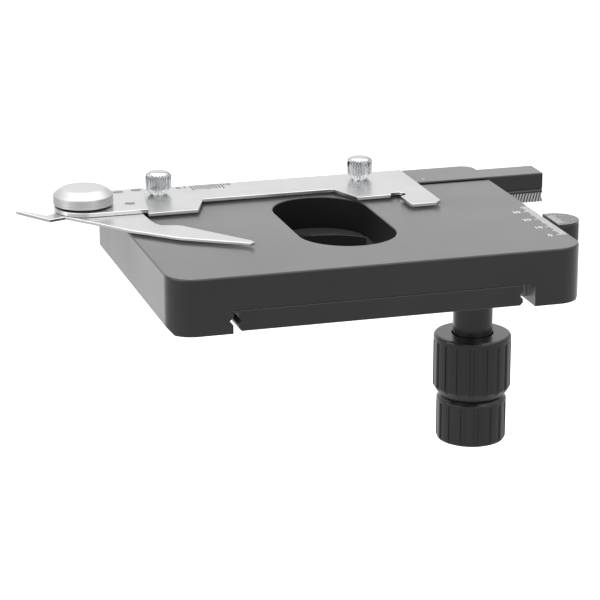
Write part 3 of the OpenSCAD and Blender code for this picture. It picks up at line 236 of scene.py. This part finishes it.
# %% A helper for node groups
def new_group(name, inputs, outputs):
    """An empty shader node group with the named sockets; returns (group, in node, out node)."""
    group = bpy.data.node_groups.new(name, "ShaderNodeTree")
    for label, kind, value in inputs:
        socket = group.interface.new_socket(label, in_out="INPUT", socket_type=kind)
        if value is not None:
            socket.default_value = value
    for label, kind in outputs:
        group.interface.new_socket(label, in_out="OUTPUT", socket_type=kind)
    return group, group.nodes.new("NodeGroupInput"), group.nodes.new("NodeGroupOutput")


def math_node(tree, operation, a, b):
    """A math node of the given operation; a and b are sockets or numbers."""
    node = tree.nodes.new("ShaderNodeMath")
    node.operation = operation
    for i, value in enumerate((a, b)):
        if isinstance(value, (int, float)):
            node.inputs[i].default_value = value
        else:
            tree.links.new(value, node.inputs[i])
    return node.outputs[0]


print("helpers ready")


# %% The effect groups
COARSE_SHARE = 0.45
CLEAN_BELOW = 0.42
CLOUDED_ABOVE = 0.72


def build_fine_grain():
    """Two noises, one at under half the other's scale, averaged: a mask 0..1, also as a height."""
    group, enter, leave = new_group(
        "fine_grain",
        [("Vector", "NodeSocketVector", None), ("Scale", "NodeSocketFloat", 4000.0)],
        [("Mask", "NodeSocketFloat"), ("Height", "NodeSocketFloat")])
    fine = group.nodes.new("ShaderNodeTexNoise")
    coarse = group.nodes.new("ShaderNodeTexNoise")
    fine.inputs["Detail"].default_value = 2.0
    coarse.inputs["Detail"].default_value = 1.0
    coarse_scale = math_node(group, "MULTIPLY", enter.outputs["Scale"], COARSE_SHARE)
    group.links.new(enter.outputs["Vector"], fine.inputs["Vector"])
    group.links.new(enter.outputs["Vector"], coarse.inputs["Vector"])
    group.links.new(enter.outputs["Scale"], fine.inputs["Scale"])
    group.links.new(coarse_scale, coarse.inputs["Scale"])
    both = math_node(group, "ADD", fine.outputs[0], coarse.outputs[0])
    mean = math_node(group, "MULTIPLY", both, 0.5)
    group.links.new(mean, leave.inputs["Mask"])
    group.links.new(mean, leave.inputs["Height"])
    return group


def build_brush_lines():
    """Noise on a vector that is squeezed along the brushing, so that its blots become lines."""
    group, enter, leave = new_group(
        "brush_lines",
        [("Vector", "NodeSocketVector", None),
         ("Squeeze", "NodeSocketVector", (40.0, 3000.0, 3000.0))],
        [("Mask", "NodeSocketFloat"), ("Height", "NodeSocketFloat")])
    squeezed = group.nodes.new("ShaderNodeVectorMath")
    squeezed.operation = "MULTIPLY"
    lines = group.nodes.new("ShaderNodeTexNoise")
    lines.inputs["Scale"].default_value = 1.0
    lines.inputs["Detail"].default_value = 3.0
    group.links.new(enter.outputs["Vector"], squeezed.inputs[0])
    group.links.new(enter.outputs["Squeeze"], squeezed.inputs[1])
    group.links.new(squeezed.outputs[0], lines.inputs["Vector"])
    group.links.new(lines.outputs[0], leave.inputs["Mask"])
    group.links.new(lines.outputs[0], leave.inputs["Height"])
    return group


def build_turning_lines():
    """Noise that reads only the distance from a centre and the height: its blots become rings."""
    group, enter, leave = new_group(
        "turning_lines",
        [("Vector", "NodeSocketVector", None), ("Centre", "NodeSocketVector", (0.0, 0.0, 0.0)),
         ("Fineness", "NodeSocketFloat", 5000.0)],
        [("Mask", "NodeSocketFloat"), ("Height", "NodeSocketFloat")])
    from_centre = group.nodes.new("ShaderNodeVectorMath")
    from_centre.operation = "SUBTRACT"
    across = group.nodes.new("ShaderNodeSeparateXYZ")
    rings = group.nodes.new("ShaderNodeCombineXYZ")
    lines = group.nodes.new("ShaderNodeTexNoise")
    lines.inputs["Scale"].default_value = 1.0
    lines.inputs["Detail"].default_value = 2.0
    group.links.new(enter.outputs["Vector"], from_centre.inputs[0])
    group.links.new(enter.outputs["Centre"], from_centre.inputs[1])
    group.links.new(from_centre.outputs[0], across.inputs[0])
    squares = [math_node(group, "POWER", across.outputs[axis], 2.0) for axis in "XY"]
    radius = math_node(group, "SQRT", math_node(group, "ADD", *squares), 0.0)
    for measure, axis in ((radius, "X"), (across.outputs["Z"], "Z")):
        scaled = math_node(group, "MULTIPLY", measure, enter.outputs["Fineness"])
        group.links.new(scaled, rings.inputs[axis])
    group.links.new(rings.outputs[0], lines.inputs["Vector"])
    group.links.new(lines.outputs[0], leave.inputs["Mask"])
    group.links.new(lines.outputs[0], leave.inputs["Height"])
    return group


def build_handling():
    """Slow noise, steepened about its middle: 0 where the face is clean, 1 where it is clouded."""
    group, enter, leave = new_group(
        "handling",
        [("Vector", "NodeSocketVector", None), ("Scale", "NodeSocketFloat", 60.0)],
        [("Mask", "NodeSocketFloat")])
    slow = group.nodes.new("ShaderNodeTexNoise")
    slow.inputs["Detail"].default_value = 4.0
    steep = group.nodes.new("ShaderNodeMapRange")
    steep.inputs["From Min"].default_value = CLEAN_BELOW
    steep.inputs["From Max"].default_value = CLOUDED_ABOVE
    group.links.new(enter.outputs["Vector"], slow.inputs["Vector"])
    group.links.new(enter.outputs["Scale"], slow.inputs["Scale"])
    group.links.new(slow.outputs[0], steep.inputs["Value"])
    group.links.new(steep.outputs[0], leave.inputs["Mask"])
    return group


FINE_GRAIN = build_fine_grain()
BRUSH_LINES = build_brush_lines()
TURNING_LINES = build_turning_lines()
HANDLING = build_handling()
print("effect groups:", [g.name for g in bpy.data.node_groups])


# %% Helpers that start a finish and place an effect
COAT_ROUGHNESS = 0.22
SHEEN_ROUGHNESS = 0.35


def new_finish(name, metallic=0.0, ior=1.5, coat=0.0, sheen=0.0):
    """A material with a Principled shader whose constant values are set on its own sockets."""
    finish = bpy.data.materials.new(name)
    finish.use_nodes = True
    tree = finish.node_tree
    tree.nodes.clear()
    out = tree.nodes.new("ShaderNodeOutputMaterial")
    shader = tree.nodes.new("ShaderNodeBsdfPrincipled")
    shader.inputs["Metallic"].default_value = metallic
    shader.inputs["IOR"].default_value = ior
    shader.inputs["Coat Weight"].default_value = coat
    shader.inputs["Coat Roughness"].default_value = COAT_ROUGHNESS
    shader.inputs["Sheen Weight"].default_value = sheen
    shader.inputs["Sheen Roughness"].default_value = SHEEN_ROUGHNESS
    tree.links.new(shader.outputs[0], out.inputs["Surface"])
    place = tree.nodes.new("ShaderNodeTexCoord")
    return finish, tree, shader, place.outputs["Object"]


def effect(tree, group, vector, **values):
    """Places an effect group in a material and returns the node."""
    node = tree.nodes.new("ShaderNodeGroup")
    node.node_tree = group
    tree.links.new(vector, node.inputs["Vector"])
    for label, value in values.items():
        node.inputs[label].default_value = value
    return node


def ranged(tree, value, low, high):
    """The value, taken from 0..1 to low..high."""
    node = tree.nodes.new("ShaderNodeMapRange")
    node.inputs["To Min"].default_value = low
    node.inputs["To Max"].default_value = high
    tree.links.new(value, node.inputs["Value"])
    return node.outputs[0]


def blended(tree, mask, first, second):
    """A colour that goes from first to second as the mask goes from 0 to 1."""
    node = tree.nodes.new("ShaderNodeMix")
    node.data_type = "RGBA"
    node.inputs[6].default_value = (*first, 1)
    node.inputs[7].default_value = (*second, 1)
    tree.links.new(mask, node.inputs[0])
    return node.outputs[2]


def raised(tree, shader, height, depth):
    """Feeds a height of the given depth in metres into the shader's normal."""
    node = tree.nodes.new("ShaderNodeBump")
    node.inputs["Distance"].default_value = depth
    tree.links.new(height, node.inputs["Height"])
    tree.links.new(node.outputs[0], shader.inputs["Normal"])


print("finish helpers ready")


# %% [markdown]
# ## Black finishes
#
# Anodised aluminium is a dark, hard oxide over bead blasted metal. Its own
# colour is nearly black. What the eye sees is a faint broad reflection, and a
# grey veil at shallow angles where the blasted grain scatters light, which
# the shader's sheen makes, under a thin sealed coat. The moulded knobs and the
# tube have no such veil. Inside the light opening the plates are matt, so
# that no light strays into the microscope, and their colour there is darker
# than the plates' own black, as painted shade for the deep opening.

# %% Black finishes
BLACK_IOR = 1.45
BLACK_CLOUDS = 38.0
CLOUDED_TONE = 1.4
CLOUD_SHARE, GRAIN_SHARE = 0.6, 0.4
OPENING_SPECULAR = 0.3


def anodised(name, tone, rough_low, rough_high, coat=0.0, sheen=0.0,
             grain=5200.0, depth=0.000004):
    """Black oxide: colour and roughness drift with handling, and fine grain lifts the normal."""
    finish, tree, shader, place = new_finish(name, ior=BLACK_IOR, coat=coat, sheen=sheen)
    cloud = effect(tree, HANDLING, place, Scale=BLACK_CLOUDS)
    grain_node = effect(tree, FINE_GRAIN, place, Scale=grain)
    rough = math_node(tree, "ADD",
                      math_node(tree, "MULTIPLY", cloud.outputs["Mask"], CLOUD_SHARE),
                      math_node(tree, "MULTIPLY", grain_node.outputs["Mask"], GRAIN_SHARE))
    colour = blended(tree, cloud.outputs["Mask"], [tone] * 3, [tone * CLOUDED_TONE] * 3)
    tree.links.new(colour, shader.inputs["Base Color"])
    tree.links.new(ranged(tree, rough, rough_low, rough_high), shader.inputs["Roughness"])
    raised(tree, shader, grain_node.outputs["Height"], depth)
    return finish


FINISHES = {
    "black_plate": anodised("black_plate", 0.008, 0.28, 0.38, coat=0.5, sheen=0.48),
    "black_bar": anodised("black_bar", 0.008, 0.28, 0.38, coat=0.5, sheen=0.5),
    "black_bracket": anodised("black_bracket", 0.010, 0.32, 0.44, coat=0.3),
    "vernier_face": anodised("vernier_face", 0.014, 0.28, 0.38, coat=0.5, sheen=0.5),
    "tube_black": anodised("tube_black", 0.007, 0.22, 0.32, coat=0.4),
    "knob_black": anodised("knob_black", 0.010, 0.24, 0.34, coat=0.3, grain=3000.0, depth=0.000006),
}
# The opening's walls: matt, and darker than the plates' own black, a painted shade for the deep
# opening.
OPENING_MATT_SHADE = anodised("opening_matt_shade", 0.002, 0.62, 0.78)
opening_shader = OPENING_MATT_SHADE.node_tree.nodes["Principled BSDF"]
opening_shader.inputs["Specular IOR Level"].default_value = OPENING_SPECULAR
print("black finishes:", sorted(FINISHES))

# %% [markdown]
# ## Bright finishes
#
# The holder, the bracket and the clip are nickel plated sheet with a faint
# brushing along the bar. The cap is turned, so its lines run round. The thumb
# screws are knurled and then chromed, so their streaks run up and down; their
# colour swings from dark to pale from streak to streak, a painted reflection
# of dark and bright surroundings in the chrome. Steel parts inside are ground
# or oiled, and the cages and bushes are brass and bronze.


# %% Bright finishes
METAL_CLOUDS = 55.0


def plated(name, dark, pale, rough_low, rough_high, squeeze, depth=0.000003):
    """Brushed metal: the lines change roughness and colour a little, and lift the normal. On the
    thumb screws the colour swings widely, a painted reflection.
    """
    finish, tree, shader, place = new_finish(name, metallic=1.0)
    lines = effect(tree, BRUSH_LINES, place, Squeeze=squeeze)
    return clouded(finish, tree, shader, place, lines, dark, pale, rough_low, rough_high, depth)


def lathe_turned(name, dark, pale, rough_low, rough_high, node_name,
                 fineness=5000.0, depth=0.000002):
    """Metal from a lathe: as brushed metal, with rings about the upright axis of one node's box."""
    low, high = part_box(node_name)
    centre = [(low[axis] + high[axis]) / 2 for axis in range(3)]
    finish, tree, shader, place = new_finish(name, metallic=1.0)
    lines = effect(tree, TURNING_LINES, place, Centre=centre, Fineness=fineness)
    return clouded(finish, tree, shader, place, lines, dark, pale, rough_low, rough_high, depth)


def clouded(finish, tree, shader, place, lines, dark, pale, rough_low, rough_high, depth):
    """Joins a line pattern with handling marks in a metal's colour, roughness and normal."""
    cloud = effect(tree, HANDLING, place, Scale=METAL_CLOUDS)
    both = math_node(tree, "ADD", math_node(tree, "MULTIPLY", cloud.outputs["Mask"], 0.5),
                     math_node(tree, "MULTIPLY", lines.outputs["Mask"], 0.5))
    tree.links.new(blended(tree, both, pale, dark), shader.inputs["Base Color"])
    tree.links.new(ranged(tree, both, rough_low, rough_high), shader.inputs["Roughness"])
    raised(tree, shader, lines.outputs["Height"], depth)
    return finish


ALONG_X = (60.0, 4200.0, 4200.0)
ALONG_Y = (4200.0, 60.0, 4200.0)
ALONG_Z = (3500.0, 3500.0, 60.0)
EVEN = (2600.0, 2600.0, 2600.0)
KNURL_REFLECTION_STREAKS = (2200.0, 2200.0, 60.0)
FINISHES.update({
    "holder_sheet": plated(
        "holder_sheet", (0.61, 0.615, 0.61), (0.71, 0.715, 0.71), 0.24, 0.36, ALONG_X),
    "clip_sheet": plated(
        "clip_sheet", (0.64, 0.64, 0.635), (0.73, 0.73, 0.725), 0.24, 0.36, EVEN),
    "cap_metal": lathe_turned(
        "cap_metal", (0.54, 0.545, 0.54), (0.64, 0.645, 0.64), 0.44, 0.56, "pivot_cap"),
    # The thumb screws' dark and pale colour streaks are painted reflection.
    "thumb_chrome": plated(
        "thumb_chrome", (0.24, 0.25, 0.26), (0.78, 0.79, 0.80), 0.08, 0.16, KNURL_REFLECTION_STREAKS),
    "rack_steel": plated(
        "rack_steel", (0.60, 0.61, 0.61), (0.72, 0.73, 0.73), 0.22, 0.34, ALONG_X),
    "shaft_steel": plated(
        "shaft_steel", (0.50, 0.51, 0.52), (0.62, 0.63, 0.64), 0.20, 0.32, ALONG_Z),
    "rail_steel": plated(
        "rail_steel", (0.42, 0.43, 0.44), (0.55, 0.56, 0.57), 0.24, 0.36, ALONG_Y),
    "ball_steel": plated(
        "ball_steel", (0.66, 0.67, 0.68), (0.74, 0.75, 0.76), 0.05, 0.12, EVEN, 0.000001),
    "screw_steel": plated(
        "screw_steel", (0.10, 0.10, 0.10), (0.17, 0.17, 0.17), 0.30, 0.45, EVEN),
    "small_screw_steel": plated(
        "small_screw_steel", (0.30, 0.30, 0.30), (0.44, 0.44, 0.44), 0.24, 0.36, EVEN),
    "spring_steel": plated(
        "spring_steel", (0.30, 0.31, 0.34), (0.42, 0.43, 0.46), 0.22, 0.34, ALONG_Z),
    "cage_brass": plated(
        "cage_brass", (0.58, 0.42, 0.17), (0.72, 0.56, 0.26), 0.26, 0.40, ALONG_Y),
    "bush_bronze": plated(
        "bush_bronze", (0.42, 0.27, 0.12), (0.56, 0.38, 0.18), 0.34, 0.48, EVEN),
})
print("all finishes:", len(FINISHES))

# %% Give every solid its finish
for node_name, slot_name in SLOT_OF.items():
    solid = frame["nodes"][node_name]
    solid.data.materials.clear()
    solid.data.materials.append(FINISHES[slot_name])
print("finished", len(SLOT_OF), "solids")

# %% [markdown]
# ## Edges that catch the light
#
# No machined or stamped edge is perfectly sharp. The thin bright line that
# runs along every edge of the sheet in the photograph is such a rounded edge.
# A copy of each solid listed below is merged, its flat faces are joined, and a
# Bevel modifier rounds its sharp edges by a fraction of a millimetre. The
# copy then stands for the solid. A Weighted Normal modifier keeps the flat
# faces flat in the light, since only the rounding should catch it.


# %% Helpers that soften a solid's edges
DOUBLE_POINT = 1e-7
CAD_DOUBLE_POINT = 2e-6
FLAT_ANGLE = 0.5
SHARP_ANGLE = 24
EDGE_STEPS = 2


def standing_for(piece, node_name):
    """Puts a piece in the scene in the place of a solid, on its body, and hides the solid."""
    bpy.context.scene.collection.objects.link(piece)
    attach(piece, BODY_OF[node_name])
    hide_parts(node_name)


def cleaned(mesh):
    """Merges the double points of a mesh and turns its faces outwards."""
    work = bmesh.new()
    work.from_mesh(mesh)
    bmesh.ops.remove_doubles(work, verts=work.verts, dist=DOUBLE_POINT)
    bmesh.ops.recalc_face_normals(work, faces=work.faces)
    work.to_mesh(mesh)
    work.free()


def smooth_but_for(mesh, angle):
    """Smooth shading, with edges sharper than the angle in degrees kept sharp."""
    mesh.polygons.foreach_set("use_smooth", np.ones(len(mesh.polygons), dtype=bool))
    mesh.set_sharp_from_angle(angle=math.radians(angle))


def softened(node_name, width_mm):
    """A copy of a solid, merged, with flat faces joined and every sharp edge rounded."""
    solid = frame["nodes"][node_name]
    work = bmesh.new()
    work.from_mesh(solid.data)
    bmesh.ops.remove_doubles(work, verts=work.verts, dist=CAD_DOUBLE_POINT)
    bmesh.ops.dissolve_limit(work, angle_limit=math.radians(FLAT_ANGLE),
                             verts=work.verts, edges=work.edges)
    mesh = bpy.data.meshes.new(node_name + "_softened")
    work.to_mesh(mesh)
    work.free()
    mesh.materials.append(solid.data.materials[0])
    smooth_but_for(mesh, SHARP_ANGLE)
    piece = bpy.data.objects.new(node_name + "_softened", mesh)
    edges = piece.modifiers.new("soft_edges", "BEVEL")
    edges.width = width_mm * MM
    edges.segments = EDGE_STEPS
    edges.limit_method = "ANGLE"
    edges.angle_limit = math.radians(SHARP_ANGLE)
    edges.use_clamp_overlap = False
    flats = piece.modifiers.new("flat_faces_stay_flat", "WEIGHTED_NORMAL")
    flats.weight = 100
    flats.keep_sharp = True
    standing_for(piece, node_name)
    return piece


ROUNDING_MM = {
    "specimen_holder": 0.16, "pivot_bracket": 0.16, "clip_lever": 0.2,
    "stage_plate": 0.12, "rear_rail": 0.15, "slider_bar": 0.15, "base_plate": 0.2,
    "vernier_plate": 0.12, "vernier_post": 0.2, "y_knob": 0.15, "x_knob": 0.15,
    "drive_housing": 0.3,
}
for node_name, width in ROUNDING_MM.items():
    piece = softened(node_name, width)
    print(piece.name, len(piece.data.polygons), "faces before rounding")

# %% [markdown]
# ## The light opening
#
# The walls of the light opening are matt black, so that they throw no stray
# light into the picture, and darker than the plates' own black: a painted
# shade for the deep opening. They belong to the same two plates, so they aren't
# pieces of their own: the faces that lie in the opening's box take a second
# material of their plate's copy.

# %% The light opening's matt walls with painted shade
OPENING_HALF = (0.0168, 0.0318)
OPENING_LIP = 0.0004


def matt_and_shade_inside_opening(mesh):
    """Gives the matt finish, darker as painted shade, to the faces whose middles lie in the
    opening's box, below its lip.
    """
    middles = np.empty(len(mesh.polygons) * 3)
    mesh.polygons.foreach_get("center", middles)
    middles = middles.reshape(-1, 3)
    inside = np.all(np.abs(middles[:, :2]) < OPENING_HALF, axis=1)
    inside &= middles[:, 2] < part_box("stage_plate")[1][2] - OPENING_LIP
    mesh.materials.append(OPENING_MATT_SHADE)
    mesh.polygons.foreach_set("material_index", inside.astype(np.int32))
    return int(inside.sum())


for node_name in ("stage_plate", "base_plate"):
    print(node_name, "matt faces:", matt_and_shade_inside_opening(bpy.data.meshes[node_name + "_softened"]))

# %% [markdown]
# ## Turned and knurled pieces
#
# The cap and the two thumb screws come from a lathe, so each is a profile
# turned about an upright axis. A lathe modifier could turn the cap, but the
# thumb screws also have straight knurls: a wave that repeats round the head
# and sinks the radius where the profile says how deep. A surface of two
# parameters, the angle and the place on the profile, makes both.


# %% The turned surface
KNURL_POWER = 0.7


def turned(name, node_name, rows, base_z, steps, knurls=0, sharp=30.0):
    """A profile of (radius, height, knurl depth) rows in mm, turned about a node's middle.

    At angle t the radius is r - depth * (0.5 - 0.5 cos(knurls t)) ** KNURL_POWER.
    """
    low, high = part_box(node_name)
    rows = np.array(rows) * MM
    around = np.linspace(0, 2 * math.pi, steps, endpoint=False)
    wave = (0.5 - 0.5 * np.cos(knurls * around)) ** KNURL_POWER
    radius = rows[:, :1] - rows[:, 2:] * wave[None]
    points = np.stack([(low[0] + high[0]) / 2 + radius * np.cos(around)[None],
                       (low[1] + high[1]) / 2 + radius * np.sin(around)[None],
                       base_z + np.repeat(rows[:, 1:2], steps, axis=1)], axis=2).reshape(-1, 3)
    ring, turn = np.meshgrid(np.arange(len(rows) - 1), np.arange(steps), indexing="ij")
    after = (turn + 1) % steps
    faces = np.stack([ring * steps + turn, ring * steps + after,
                      (ring + 1) * steps + after, (ring + 1) * steps + turn], axis=2).reshape(-1, 4)
    mesh = bpy.data.meshes.new(name)
    mesh.from_pydata(points, [], faces)
    cleaned(mesh)
    mesh.materials.append(FINISHES[SLOT_OF[node_name]])
    smooth_but_for(mesh, sharp)
    piece = bpy.data.objects.new(name, mesh)
    standing_for(piece, node_name)
    return piece


SHEET_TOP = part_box("specimen_holder")[1][2]
print("sheet top at", round(1000 * SHEET_TOP, 2), "mm")

# %% [markdown]
# ### The thumb screws
#
# Two small chromed screws clamp the holder to the slider bar, and fingers turn
# them, so their heads are knurled. Each has a threaded shank, a foot that
# presses on the sheet, a taper, the grip and a domed top. The knurls fade out
# in the taper and under the dome, as a rolling tool leaves them.

# %% The thumb screws
KNURLS = 24
STEPS_PER_KNURL = 10
THUMB_ROWS = [
    # the threaded shank under the sheet
    (0, -6.4, 0), (1.35, -6.4, 0), (1.5, -6.2, 0), (1.5, 0, 0),
    # the foot on the sheet and the taper above it
    (2.8, 0, 0), (2.9, 0.06, 0), (2.9, 0.3, 0), (3.15, 0.42, 0), (3.4, 0.8, 0.1), (3.95, 1.5, 0.5),
    # the knurled grip
    (4.35, 2.05, 0.75), (4.5, 2.5, 0.85), (4.5, 6.3, 0.85), (4.46, 6.7, 0.7), (4.3, 7.1, 0.35),
    # the domed top
    (4.0, 7.45, 0.05), (3.6, 7.75, 0), (3.0, 8.0, 0), (2.2, 8.18, 0), (1.2, 8.27, 0), (0, 8.3, 0),
]
for side in ("left", "right"):
    piece = turned("thumb_screw_" + side + "_knurled", "thumb_screw_" + side, THUMB_ROWS,
                   SHEET_TOP, KNURLS * STEPS_PER_KNURL, knurls=KNURLS)
    print(piece.name, len(piece.data.polygons), "faces")

# %% [markdown]
# ### The pivot cap
#
# The cap covers the clip's spring and the end of its pivot pin. It is turned
# from bar: hollow below, with two fine grooves round its side and a cone that
# leads to the flat top. The rows below are that profile, from the middle of
# the hollow round to the middle of the top.

# %% The pivot cap
CAP_LOW, CAP_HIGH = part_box("pivot_cap")
CAP_RADIUS = (CAP_HIGH[0] - CAP_LOW[0]) * 500
CAP_STEPS = 144
CAP_SHARP_ANGLE = 20.0


def groove(height):
    """Profile rows of a fine groove in the cap's side that starts at a height in mm."""
    return [(CAP_RADIUS - depth, height + up, 0)
            for depth, up in ((0, 0), (0.12, 0.08), (0.12, 0.18), (0, 0.26))]


CAP_ROWS = [
    # the hollow underside and the lower rim
    (0, 3.6, 0), (8.75, 3.6, 0), (8.75, 0, 0), (CAP_RADIUS - 0.25, 0, 0),
    (CAP_RADIUS - 0.05, 0.1, 0), (CAP_RADIUS, 0.25, 0),
    # the side with its two grooves
    *groove(0.95), *groove(1.95),
    (CAP_RADIUS, 3.15, 0), (CAP_RADIUS - 0.07, 3.32, 0), (CAP_RADIUS - 0.25, 3.5, 0),
    # the cone and the flat top
    (9.1, 4.35, 0), (8.2, 4.94, 0), (7.45, 5.35, 0), (7.3, 5.42, 0), (7.1, 5.47, 0),
    (6.7, 5.5, 0), (0, 5.53, 0),
]
piece = turned("pivot_cap_turned", "pivot_cap", CAP_ROWS, CAP_LOW[2], CAP_STEPS,
               sharp=CAP_SHARP_ANGLE)
print(piece.name, len(piece.data.polygons), "faces")

# %% [markdown]
# ## Scales
#
# The plate carries a printed scale along its right edge, read against the
# vernier on the D shaped plate beside it. The holder carries a second vernier
# at its back edge. Their lines are thin bars of paint, each two hundredths of
# a millimetre proud of its face, and their numbers are plain. On the real
# object they are printed or engraved and filled. Bars and numbers of their own
# stay sharp at any distance, which a picture on the face would not.


# %% Helpers for paint
NUMERAL_HALF_HEIGHT = 0.01
NUMERAL_STROKE = 0.06
PROUD = 0.02
PAINT_CLOUDS = 400.0
PAINT_ROUGHNESS = (0.45, 0.6)


def bars(low, high):
    """Boxes between two arrays of corners in mm.

    Corner k of a box takes low or high on x, y and z by the three bits of k.
    """
    bits = (np.arange(8)[:, None] >> np.arange(3)) & 1
    points = np.where(bits[None], high[:, None, :], low[:, None, :]).reshape(-1, 3)
    sides = np.array([[0, 2, 3, 1], [4, 5, 7, 6], [0, 1, 5, 4],
                      [2, 6, 7, 3], [0, 4, 6, 2], [1, 3, 7, 5]])
    faces = (sides[None] + 8 * np.arange(len(low))[:, None, None]).reshape(-1, 4)
    return points, faces


def numerals(entries, size):
    """Plain numbers lying flat: each word becomes a mesh, and its points are moved to its place."""
    points, faces, count = [], [], 0
    for word, x, y, z in entries:
        curve = bpy.data.curves.new("numeral", "FONT")
        curve.body = word
        curve.size = size
        curve.align_x = "CENTER"
        curve.align_y = "CENTER"
        curve.extrude = NUMERAL_HALF_HEIGHT
        curve.offset = NUMERAL_STROKE
        holder = bpy.data.objects.new("numeral", curve)
        flat = bpy.data.meshes.new_from_object(holder)
        place = np.empty(len(flat.vertices) * 3)
        flat.vertices.foreach_get("co", place)
        points.append(place.reshape(-1, 3) + np.array([x, y, z + NUMERAL_HALF_HEIGHT]))
        faces += [[v + count for v in side.vertices] for side in flat.polygons]
        count += len(flat.vertices)
        bpy.data.objects.remove(holder)
    return np.concatenate(points), faces


def painted(name, shapes, finish, body):
    """One piece from several (points in millimetres, faces) pairs, riding on a body."""
    points, faces, count = [], [], 0
    for place, sides in shapes:
        points.append(place)
        faces += [[int(v) + count for v in side] for side in sides]
        count += len(place)
    mesh = bpy.data.meshes.new(name)
    mesh.from_pydata(np.concatenate(points) * MM, [], faces)
    cleaned(mesh)
    mesh.materials.append(finish)
    piece = bpy.data.objects.new(name, mesh)
    bpy.context.scene.collection.objects.link(piece)
    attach(piece, body)


def paint(name, dark, pale):
    """Matt paint whose colour drifts a little with handling."""
    finish, tree, shader, place = new_finish(name)
    cloud = effect(tree, HANDLING, place, Scale=PAINT_CLOUDS)
    tree.links.new(blended(tree, cloud.outputs["Mask"], pale, dark), shader.inputs["Base Color"])
    tree.links.new(ranged(tree, cloud.outputs["Mask"], *PAINT_ROUGHNESS), shader.inputs["Roughness"])
    return finish


WHITE_PAINT = paint("white_paint", (0.78, 0.78, 0.77), (0.88, 0.88, 0.87))
BLACK_PAINT = paint("black_paint", (0.02, 0.02, 0.02), (0.04, 0.04, 0.04))
print("paint ready")

# %% The plate's scale
PLATE_TOP = 1000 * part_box("stage_plate")[1][2]
SCALE_FRONT_Y = -38.0
SCALE_LINES = 37
SCALE_EDGE_X = 69.5
LONG_X, MIDDLE_X, SHORT_X = 65.6, 66.3, 67.0
SCALE_HALF_WIDTH = 0.21
SCALE_NUMBERS = (("0", 63.4), ("10", 63.1), ("20", 63.0), ("30", 63.0))
SCALE_NUMBER_SIZE = 3.0

step = np.arange(SCALE_LINES)
scale_y = SCALE_FRONT_Y + step
scale_x0 = np.where(step % 10 == 0, LONG_X, np.where(step % 5 == 0, MIDDLE_X, SHORT_X))
scale_x1 = np.full(SCALE_LINES, SCALE_EDGE_X)
scale_z = np.full(SCALE_LINES, PLATE_TOP)
scale_bars = bars(np.stack([scale_x0, scale_y - SCALE_HALF_WIDTH, scale_z], axis=1),
                  np.stack([scale_x1, scale_y + SCALE_HALF_WIDTH, scale_z + PROUD], axis=1))
plate_numbers = numerals(
    [(word, x, SCALE_FRONT_Y + 10 * i, PLATE_TOP) for i, (word, x) in enumerate(SCALE_NUMBERS)],
    SCALE_NUMBER_SIZE)
painted("plate_scale", [scale_bars, plate_numbers], WHITE_PAINT, "stage")
print("plate scale:", SCALE_LINES, "lines")

# %% The vernier beside it
VERNIER_LOW, VERNIER_HIGH = (1000 * np.array(corner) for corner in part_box("vernier_plate"))
MARKS = 11
VERNIER_FRONT_Y = -24.5
VERNIER_STEP = 0.9
VERNIER_HALF_WIDTH = 0.12
VERNIER_INSET = 0.3
VERNIER_LONG, VERNIER_SHORT = 3.4, 2.5

mark = np.arange(MARKS)
vernier_y = VERNIER_FRONT_Y + VERNIER_STEP * mark
vernier_length = np.where(mark % 5 == 0, VERNIER_LONG, VERNIER_SHORT)
vernier_x0 = np.full(MARKS, VERNIER_LOW[0] + VERNIER_INSET)
vernier_z = np.full(MARKS, VERNIER_HIGH[2])
vernier_bars = bars(
    np.stack([vernier_x0, vernier_y - VERNIER_HALF_WIDTH, vernier_z], axis=1),
    np.stack([vernier_x0 + vernier_length, vernier_y + VERNIER_HALF_WIDTH,
              vernier_z + PROUD], axis=1))
painted("vernier_lines", [vernier_bars], WHITE_PAINT, "base")
print("vernier lines at x", round(float(vernier_x0[0]), 2))

# %% The holder's vernier
HOLDER_HIGH = 1000 * np.array(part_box("specimen_holder")[1])
HOLDER_LEFT_X = -37.2
HOLDER_STEP = 1.1
HOLDER_HALF_WIDTH = 0.22
HOLDER_NUMBERS = (("0.1", -40.6), ("10", -24.4))
HOLDER_NUMBER_SIZE = 3.2
HOLDER_INSET = 0.4
HOLDER_NUMBER_INSET = 2.2
HOLDER_LONG, HOLDER_SHORT = 6.6, 5.4

mark_x = HOLDER_LEFT_X + HOLDER_STEP * mark
mark_length = np.where(mark % 5 == 0, HOLDER_LONG, HOLDER_SHORT)
mark_y1 = np.full(MARKS, HOLDER_HIGH[1] - HOLDER_INSET)
mark_z = np.full(MARKS, HOLDER_HIGH[2])
holder_bars = bars(
    np.stack([mark_x - HOLDER_HALF_WIDTH, mark_y1 - mark_length, mark_z], axis=1),
    np.stack([mark_x + HOLDER_HALF_WIDTH, mark_y1, mark_z + PROUD], axis=1))
holder_numbers = numerals(
    [(word, x, HOLDER_HIGH[1] - HOLDER_NUMBER_INSET, HOLDER_HIGH[2])
     for word, x in HOLDER_NUMBERS],
    HOLDER_NUMBER_SIZE)
painted("holder_vernier", [holder_bars, holder_numbers], BLACK_PAINT, "slider")
print("holder vernier at y", round(float(mark_y1[0]), 2))
